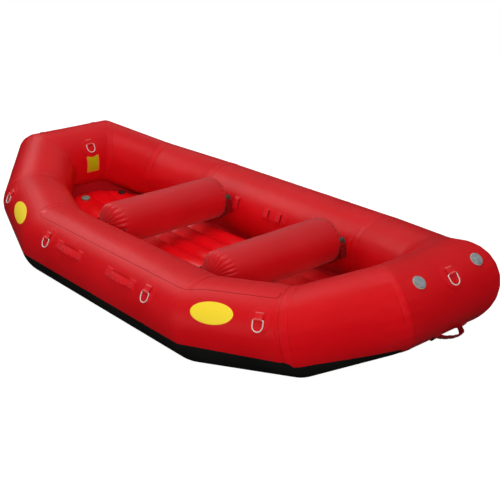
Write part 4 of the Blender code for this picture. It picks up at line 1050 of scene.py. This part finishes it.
# ================================================================ webbing handles
def handle(name, node, k, s0, angle, length, pad, pad_half, strap_half, rise, sx, sy, mat, seed, skew=1.0, thick=0.0024):
    """Two pads on the tube and a strap that arches between them."""
    half = length / 2
    inner = half - pad
    for tag, sign in (("a", -1), ("b", 1)):
        a = np.linspace(inner - 0.006, half, 15) * sign
        b = np.linspace(-pad_half, pad_half, 13)
        aa, bb = np.meshgrid(a, b, indexing="ij")
        e = np.minimum(np.minimum((half - np.abs(aa)) / 0.002, (np.abs(aa) - inner + 0.006) / 0.002), (pad_half - np.abs(bb)) / 0.002)
        hh = 0.0004 + (SEAT + PATCH_T - 0.0004) * np.clip(e, 0, 1) + 0.0004 * np.sin(aa * 180 + bb * 90 + seed)
        top = on_tube(k, s0, angle, aa, bb, hh)
        low = on_tube(k, s0, angle, aa, bb, -0.001)
        verts, faces, uv = slab(top, low)
        verts, faces = mirrored(verts, faces, sx, sy)
        make("%s_pad_%s" % (name, tag), verts, outward(verts, faces), PATCH_RED, uv=uv)
    a = np.concatenate([np.linspace(-half + 0.006, -inner, 12)[:-1], np.linspace(-inner, inner, 41), np.linspace(inner, half - 0.006, 12)[1:]])
    b = np.linspace(-1, 1, 13)
    aa, bb = np.meshgrid(a, b, indexing="ij")
    f = np.clip((aa + inner) / (2 * inner), 0, 1)
    bump = rise * np.sin(math.pi * np.clip(f, 0, 1) ** skew).clip(0, 1) ** 0.6
    flat = SEAT + PATCH_T + 0.0026
    rumple = 0.0010 * np.sin(aa * 150 + seed) * np.sin(bb * 2.3 + seed) + 0.0007 * np.sin(aa * 320 + bb * 3 + seed)
    curl = 0.0022 * (1 - bb ** 2) * np.clip(bump / rise, 0, 1)
    hgt = np.maximum(flat, flat + bump - STRAP_T + curl + rumple * (bump > 0))
    width = strap_half * (1 + 0.02 * np.sin(aa * 60 + seed))
    top = on_tube(k, s0, angle, aa, bb * width, hgt)
    low = on_tube(k, s0, angle, aa, bb * width, np.maximum(0.0006, hgt - thick))
    verts, faces, uv = slab(top, low)
    verts, faces = mirrored(verts, faces, sx, sy)
    obj = make(name + "_strap", verts, outward(verts, faces), mat, uv=uv)
    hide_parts(node)
    # sewn boxes on both ends
    verts, faces = [], []
    for sign in (-1, 1):
        a0, a1 = sign * (inner + 0.006), sign * (half - 0.010)
        w = strap_half - 0.004
        corners = [(a0, -w), (a1, -w), (a1, w), (a0, w)]
        lines = [(corners[i], corners[(i + 1) % 4]) for i in range(4)] + [(corners[0], corners[2]), (corners[1], corners[3])]
        for (p0, q0), (p1, q1) in lines:
            count = max(3, int(math.hypot(p1 - p0, q1 - q0) / 0.004))
            for i in range(count):
                f0, f1 = (i + 0.15) / count, (i + 0.8) / count
                pts = on_tube(k, s0, angle, [p0 + (p1 - p0) * f0, p0 + (p1 - p0) * f1], [q0 + (q1 - q0) * f0, q0 + (q1 - q0) * f1], flat + 0.0006)
                _, _, _, nrm = frame_at(k, s0, angle)
                v, g = sweep(pts, nrm, 0.0005, 5)
                base = len(verts)
                verts += list(v)
                faces += [tuple(j + base for j in h) for h in g]
    verts, faces = mirrored(np.array(verts), faces, sx, sy)
    # the tow loops' stitching takes the darker webbing of painted shade
    make(name + "_stitching", verts, faces, THREAD if mat is WEB_LIT_RED else WEB_SHADED, uv=np.array(verts)[:, :2])


STRAP_T = 0.0025
for index, (quarter, sx, sy) in enumerate(QUARTERS):
    handle(quarter + "_side_carry", quarter + "_side_handle", 0, 0.290, 32.0, 0.310, 0.062, 0.036, 0.020, 0.030, sx, sy, WEB_LIT_RED, index)
for name, sx in (("bow", 1), ("stern", -1)):
    # the tow loops take the darker webbing: painted shade for their place under the ends
    handle(name + "_tow_loop", name + "_handle", 3, LEN[3] - 0.035, -46.0, 0.260, 0.045, 0.030, 0.019, 0.042, sx, 1, WEB_SHADED, 3, skew=0.46, thick=0.0055)


for name, sx in (("bow", 1), ("stern", -1)):
    # a stiff dark tip where the webbing's end is folded over
    aa, bb = np.meshgrid(np.linspace(0.124, 0.141, 13), np.linspace(-0.016, 0.016, 17), indexing="ij")
    shape = np.sqrt(np.clip(1 - np.abs((aa - 0.1325) / 0.0085) ** 4, 0, 1)) * np.sqrt(np.clip(1 - np.abs(bb / 0.016) ** 6, 0, 1))
    top = on_tube(3, LEN[3] - 0.035, -46.0, aa, bb, 0.0030 + 0.0060 * shape)
    low = on_tube(3, LEN[3] - 0.035, -46.0, aa, bb, 0.0004)
    verts, faces, uv = slab(top, low)
    verts, faces = mirrored(verts, faces, sx, 1)
    make(name + "_tow_loop_tip", verts, outward(verts, faces), BLACK, uv=uv)


# ================================================================ thwart straps
def tube_face_y(z):
    return 0.7321 - math.sqrt(0.246 ** 2 - (z - 0.246 - LIFT) ** 2)


for thwart, tx in (("front_thwart", THWART_X), ("rear_thwart", -THWART_X)):
    for side, sy in (("left", 1), ("right", -1)):
        label = "%s_%s" % (thwart, side)
        ang = np.radians(np.linspace(176, 364, 60))
        r = THWART_R + 0.0046
        path = np.stack([tx + r * np.cos(ang), np.full(60, 0.457), THWART_Z + r * np.sin(ang)], axis=-1)
        verts, faces, uv = strip(path, (0, 1, 0), 0.038, 0.0024, m=11)
        verts = verts * np.array([1, sy, 1])
        # the sling takes the darker webbing: painted shade
        obj = make(label + "_sling", verts, outward(verts, faces), WEB_SHADED, uv=uv)
        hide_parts("%s_strap_%s" % (thwart, side))
        for end, sx in (("fore", 1), ("aft", -1)):
            outward_side = sx * tx > 0
            x0, x1 = tx + sx * 0.158, tx + sx * (0.171 if outward_side else 0.212)
            # the loop block on the tube, a folded pad with a slit at its far edge
            zs = np.linspace(THWART_Z - 0.060, THWART_Z + 0.034, 25)
            xs_b = np.linspace(x0, x1, 15)
            top, low = [], []
            for j, xb in enumerate(xs_b):
                fx = j / 14.0
                lift_x = 0.0115 * min(1.0, 6 * fx + 0.4) * (1.0 if fx < 0.93 else 0.9)
                row_t, row_l = [], []
                for i, z in enumerate(zs):
                    fz = min(i, 24 - i) / 12.0
                    lift = lift_x * min(1.0, 0.35 + 2.2 * fz) + 0.0006 * math.sin(z * 300 + j)
                    y = tube_face_y(z)
                    row_t.append((xb, (y - 0.0008 - lift) * sy, z))
                    row_l.append((xb, (y + 0.0010) * sy, z))
                top.append(row_t)
                low.append(row_l)
            verts, faces, uv = slab(np.array(top), np.array(low))
            make("%s_loop_%s" % (label, end), verts, outward(verts, faces), PATCH_RED, uv=uv)
            # the dark slit where the loop is open: a black sheet that paints the shade in the opening
            if not outward_side:
                zc0, zc1 = THWART_Z - 0.050, THWART_Z + 0.020
                zz = np.linspace(zc0, zc1, 9)
                top = np.array([[(x1 + sx * d, (tube_face_y(z) - 0.0075 * (1 if d < 0.0005 else 0.4)) * sy, z) for z in zz] for d in (-0.0005, 0.0012)])
                low = np.array([[(x1 + sx * d, (tube_face_y(z) - 0.0005) * sy, z) for z in zz] for d in (-0.0005, 0.0012)])
                verts, faces, uv = slab(top, low)
                make("%s_slit_%s" % (label, end), verts, outward(verts, faces), SHADE_BLACK, uv=uv)
            # the lug between sling and loop, in the darker webbing of painted shade
            zz = np.linspace(THWART_Z - 0.084, THWART_Z - 0.018, 11)
            yy = np.linspace(0, 1, 7)
            lx0, lx1 = tx + sx * 0.1580, tx + sx * 0.1640
            grid_a = np.array([[(lx1, (0.4400 + (tube_face_y(z) - 0.0008 - 0.4400) * f) * sy, z) for f in yy] for z in zz])
            grid_b = np.array([[(lx0, (0.4400 + (tube_face_y(z) - 0.0008 - 0.4400) * f) * sy, z) for f in yy] for z in zz])
            verts, faces, uv = slab(grid_a, grid_b)
            make("%s_lug_%s" % (label, end), verts, outward(verts, faces), WEB_SHADED, uv=uv)


# ================================================================ blank patches
def plate_outline(half_a, half_b, corner=None, power=None, n=176):
    """Points round a rounded rectangle, or round a squared oval of this power."""
    if power:
        t = np.arange(n) * 2 * math.pi / n
        c, d = np.cos(t), np.sin(t)
        return np.stack([half_a * np.sign(c) * np.abs(c) ** (2 / power), half_b * np.sign(d) * np.abs(d) ** (2 / power)], axis=-1)
    pts = []
    for qx, qy, start in ((1, 1, 0), (-1, 1, 90), (-1, -1, 180), (1, -1, 270)):
        for i in range(9):
            t = math.radians(start + 90 * i / 8)
            pts.append((qx * (half_a - corner) + corner * math.cos(t), qy * (half_b - corner) + corner * math.sin(t)))
    pts = np.array(pts + [pts[0]])
    run = np.concatenate([[0], np.cumsum(np.linalg.norm(np.diff(pts, axis=0), axis=1))])
    at = np.arange(n) * run[-1] / n
    return np.stack([np.interp(at, run, pts[:, 0]), np.interp(at, run, pts[:, 1])], axis=-1)


def laid_plate(name, k, s0, angle, pts, height, mat, sx, sy):
    """A thin plate laid on the tube, inside this outline."""
    n = len(pts)
    rows, uvs = [], []
    for f, h in [(i / 12.0, height) for i in range(12)] + [(0.975, height), (0.99, height * 0.8), (1.0, height * 0.3), (1.0, -0.001)]:
        rows.append(on_tube(k, s0, angle, pts[:, 0] * f, pts[:, 1] * f, h))
        uvs.append(pts * f)
    p = np.array(rows)
    verts = p.reshape(-1, 3)
    faces = list(map(tuple, grid_faces(len(rows), n, close_m=True)))
    _, _, _, nrm = frame_at(k, s0, angle)
    f0 = faces[n * 2]
    if np.cross(verts[f0[1]] - verts[f0[0]], verts[f0[2]] - verts[f0[0]]).dot(nrm) < 0:
        faces = [tuple(reversed(f)) for f in faces]
    verts, faces = mirrored(verts, faces, sx, sy)
    return make(name, verts, faces, mat, uv=np.array(uvs).reshape(-1, 2))


for quarter, sx, sy in QUARTERS:
    laid_plate(quarter + "_blank_plate", 1, 0.210, 34.5, plate_outline(0.140, 0.0625, power=2.0), 0.0022, YELLOW, sx, sy)
laid_plate("stern_blank_plate", 3, LEN[3] - END_SHIFT, 185.0, plate_outline(0.053, 0.0675, corner=0.005), 0.0020, LABEL, -1, 1)

laid_plate("stern_blank_plate_face", 3, LEN[3] - END_SHIFT, 185.0, plate_outline(0.043, 0.0575, corner=0.003), 0.0023, LABEL_FACE, -1, 1)
for side, sy in (("left", 1), ("right", -1)):
    # the tape ends carry the pale pink of painted highlight
    laid_plate(side + "_tape_end", 0, 0.800, 68.0, plate_outline(0.028, 0.016, corner=0.004), 0.0026, TAPE_END_HIGHLIGHT, -1, sy)

# ================================================================ webbing loops inside the middle bay
LOOP_AT, LOOP_ANGLE = 0.030, 158.0
LOOP_ENDS = ((-0.110, -0.066), (0.016, 0.060))
for name, sy in (("left", 1), ("right", -1)):
    # the base, with its corners rounded and its sides a little arched
    pts = plate_outline(0.120, 0.038, power=4.2)
    base = laid_plate(name + "_loop_base", 0, LOOP_AT, LOOP_ANGLE, pts, SEAT + PATCH_T, PATCH_RED, 1, sy)
    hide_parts(name + "_middle_loops")
    for index, (a0, a1) in enumerate(LOOP_ENDS):
        a = np.concatenate([[a0], np.linspace(a0 + 0.0015, a1 - 0.0015, 25), [a1]])
        b = np.linspace(-0.033, 0.033, 41)
        aa, bb = np.meshgrid(a, b, indexing="ij")
        shape = np.clip((0.033 - np.abs(bb)) / 0.0065, 0, 1)
        shape = np.sqrt(1 - (1 - shape) ** 2)
        along = 0.0145 - 0.0018 * ((aa - (a0 + a1) / 2) / ((a1 - a0) / 2)) ** 2 - 0.0008 * np.sin(aa * 130 + 20 * bb)
        hh = 0.0035 + (along - 0.0035) * shape
        top = on_tube(0, LOOP_AT, LOOP_ANGLE, aa, bb, hh)
        low = on_tube(0, LOOP_AT, LOOP_ANGLE, aa, bb, 0.0020)
        verts, faces, uv = slab(top, low)
        verts, faces = mirrored(verts, faces, 1, sy)
        make("%s_loop_%d" % (name, index), verts, outward(verts, faces), WEB_LIT_RED, uv=uv)
        for tag, at, side in (("fore", a1, 1), ("aft", a0, -1)):
            # the loop's mouth: a dark sheet that paints the shade inside it
            bb = np.linspace(-0.0255, 0.0255, 15)
            mouth = np.array([on_tube(0, LOOP_AT, LOOP_ANGLE, at + side * d, bb, 0.0108) for d in (-0.0008, 0.0006)])
            under = np.array([on_tube(0, LOOP_AT, LOOP_ANGLE, at + side * d, bb, 0.0040) for d in (-0.0008, 0.0006)])
            verts, faces, uv = slab(mouth, under)
            verts, faces = mirrored(verts, faces, 1, sy)
            make("%s_loop_mouth_%d_%s" % (name, index, tag), verts, outward(verts, faces), MOUTH_SHADE, uv=uv)

# ================================================================ light, floor, background
SKY_LOW, SKY_HIGH = 0.03, 0.42
scene = bpy.context.scene
scene.view_settings.view_transform = "Standard"
scene.view_settings.look = "None"

ground_mesh = bpy.data.meshes.new("ground")
S = 30.0
ground_mesh.from_pydata([(-S, -S, -0.0006), (S, -S, -0.0006), (S, S, -0.0006), (-S, S, -0.0006)], [], [(0, 1, 2, 3)])
ground = bpy.data.objects.new("ground", ground_mesh)
scene.collection.objects.link(ground)
ground.visible_diffuse = False
ground.visible_glossy = False
ground_mat = Mat("ground_white", (0.36, 0.36, 0.36, 1.0), 0.9, specular=0.0)
ground_mat.bsdf.inputs["Emission Color"].default_value = (1.0, 1.0, 1.0, 1.0)
ground_mat.bsdf.inputs["Emission Strength"].default_value = 0.92
ground_mesh.materials.append(ground_mat.mat)

world = bpy.data.worlds.new("world")
scene.world = world
world.use_nodes = True
tree = world.node_tree
seen = tree.nodes["Background"]
seen.inputs["Color"].default_value = (1.0, 1.0, 1.0, 1.0)
seen.inputs["Strength"].default_value = 1.0
lit = tree.nodes.new("ShaderNodeBackground")
coord = tree.nodes.new("ShaderNodeTexCoord")
split = tree.nodes.new("ShaderNodeSeparateXYZ")
tree.links.new(coord.outputs["Generated"], split.inputs[0])
sky = tree.nodes.new("ShaderNodeMapRange")
sky.inputs["From Min"].default_value = 0.22
sky.inputs["From Max"].default_value = 1.0
sky.inputs["To Min"].default_value = SKY_LOW
sky.inputs["To Max"].default_value = SKY_HIGH
tree.links.new(split.outputs["Z"], sky.inputs["Value"])
over = tree.nodes.new("ShaderNodeMath")
over.operation = "GREATER_THAN"
over.inputs[1].default_value = 0.0
tree.links.new(split.outputs["Z"], over.inputs[0])
floor_glow = tree.nodes.new("ShaderNodeMath")
floor_glow.operation = "MAXIMUM"
floor_glow.inputs[1].default_value = 0.04
both = tree.nodes.new("ShaderNodeMath")
both.operation = "MULTIPLY"
tree.links.new(sky.outputs["Result"], both.inputs[0])
tree.links.new(over.outputs["Value"], both.inputs[1])
tree.links.new(both.outputs["Value"], floor_glow.inputs[0])
tree.links.new(floor_glow.outputs["Value"], lit.inputs["Strength"])
path = tree.nodes.new("ShaderNodeLightPath")
pick = tree.nodes.new("ShaderNodeMixShader")
tree.links.new(path.outputs["Is Camera Ray"], pick.inputs["Fac"])
tree.links.new(lit.outputs["Background"], pick.inputs[1])
tree.links.new(seen.outputs["Background"], pick.inputs[2])
tree.links.new(pick.outputs["Shader"], tree.nodes["World Output"].inputs["Surface"])


def area(name, az, el, distance, size, power, glossy=True, target=(0, 0, 0.3)):
    """A rectangular soft light that shines from this azimuth and height at the target."""
    data = bpy.data.lights.new(name, "AREA")
    data.shape = "RECTANGLE"
    data.size, data.size_y = size
    data.energy = power
    light = bpy.data.objects.new(name, data)
    a, e = math.radians(az), math.radians(el)
    from_target = Vector((math.sin(a) * math.cos(e), -math.cos(a) * math.cos(e), math.sin(e)))
    light.location = Vector(target) + from_target * distance
    light.rotation_euler = (-from_target).to_track_quat("-Z", "Y").to_euler()
    light.visible_glossy = glossy
    scene.collection.objects.link(light)


area("camera_fill", 57, 20, 9.0, (4.0, 3.0), 405, glossy=False)
area("side_fill", 345, 8, 8.0, (4.0, 2.5), 140, glossy=False)
area("back_fill", 228, 22, 7.0, (4.0, 3.0), 110, glossy=False)
area("key", 284, 41, 6.0, (3.4, 2.6), 46)
area("overhead", 0, 88, 5.0, (3.2, 2.2), 104, glossy=False)
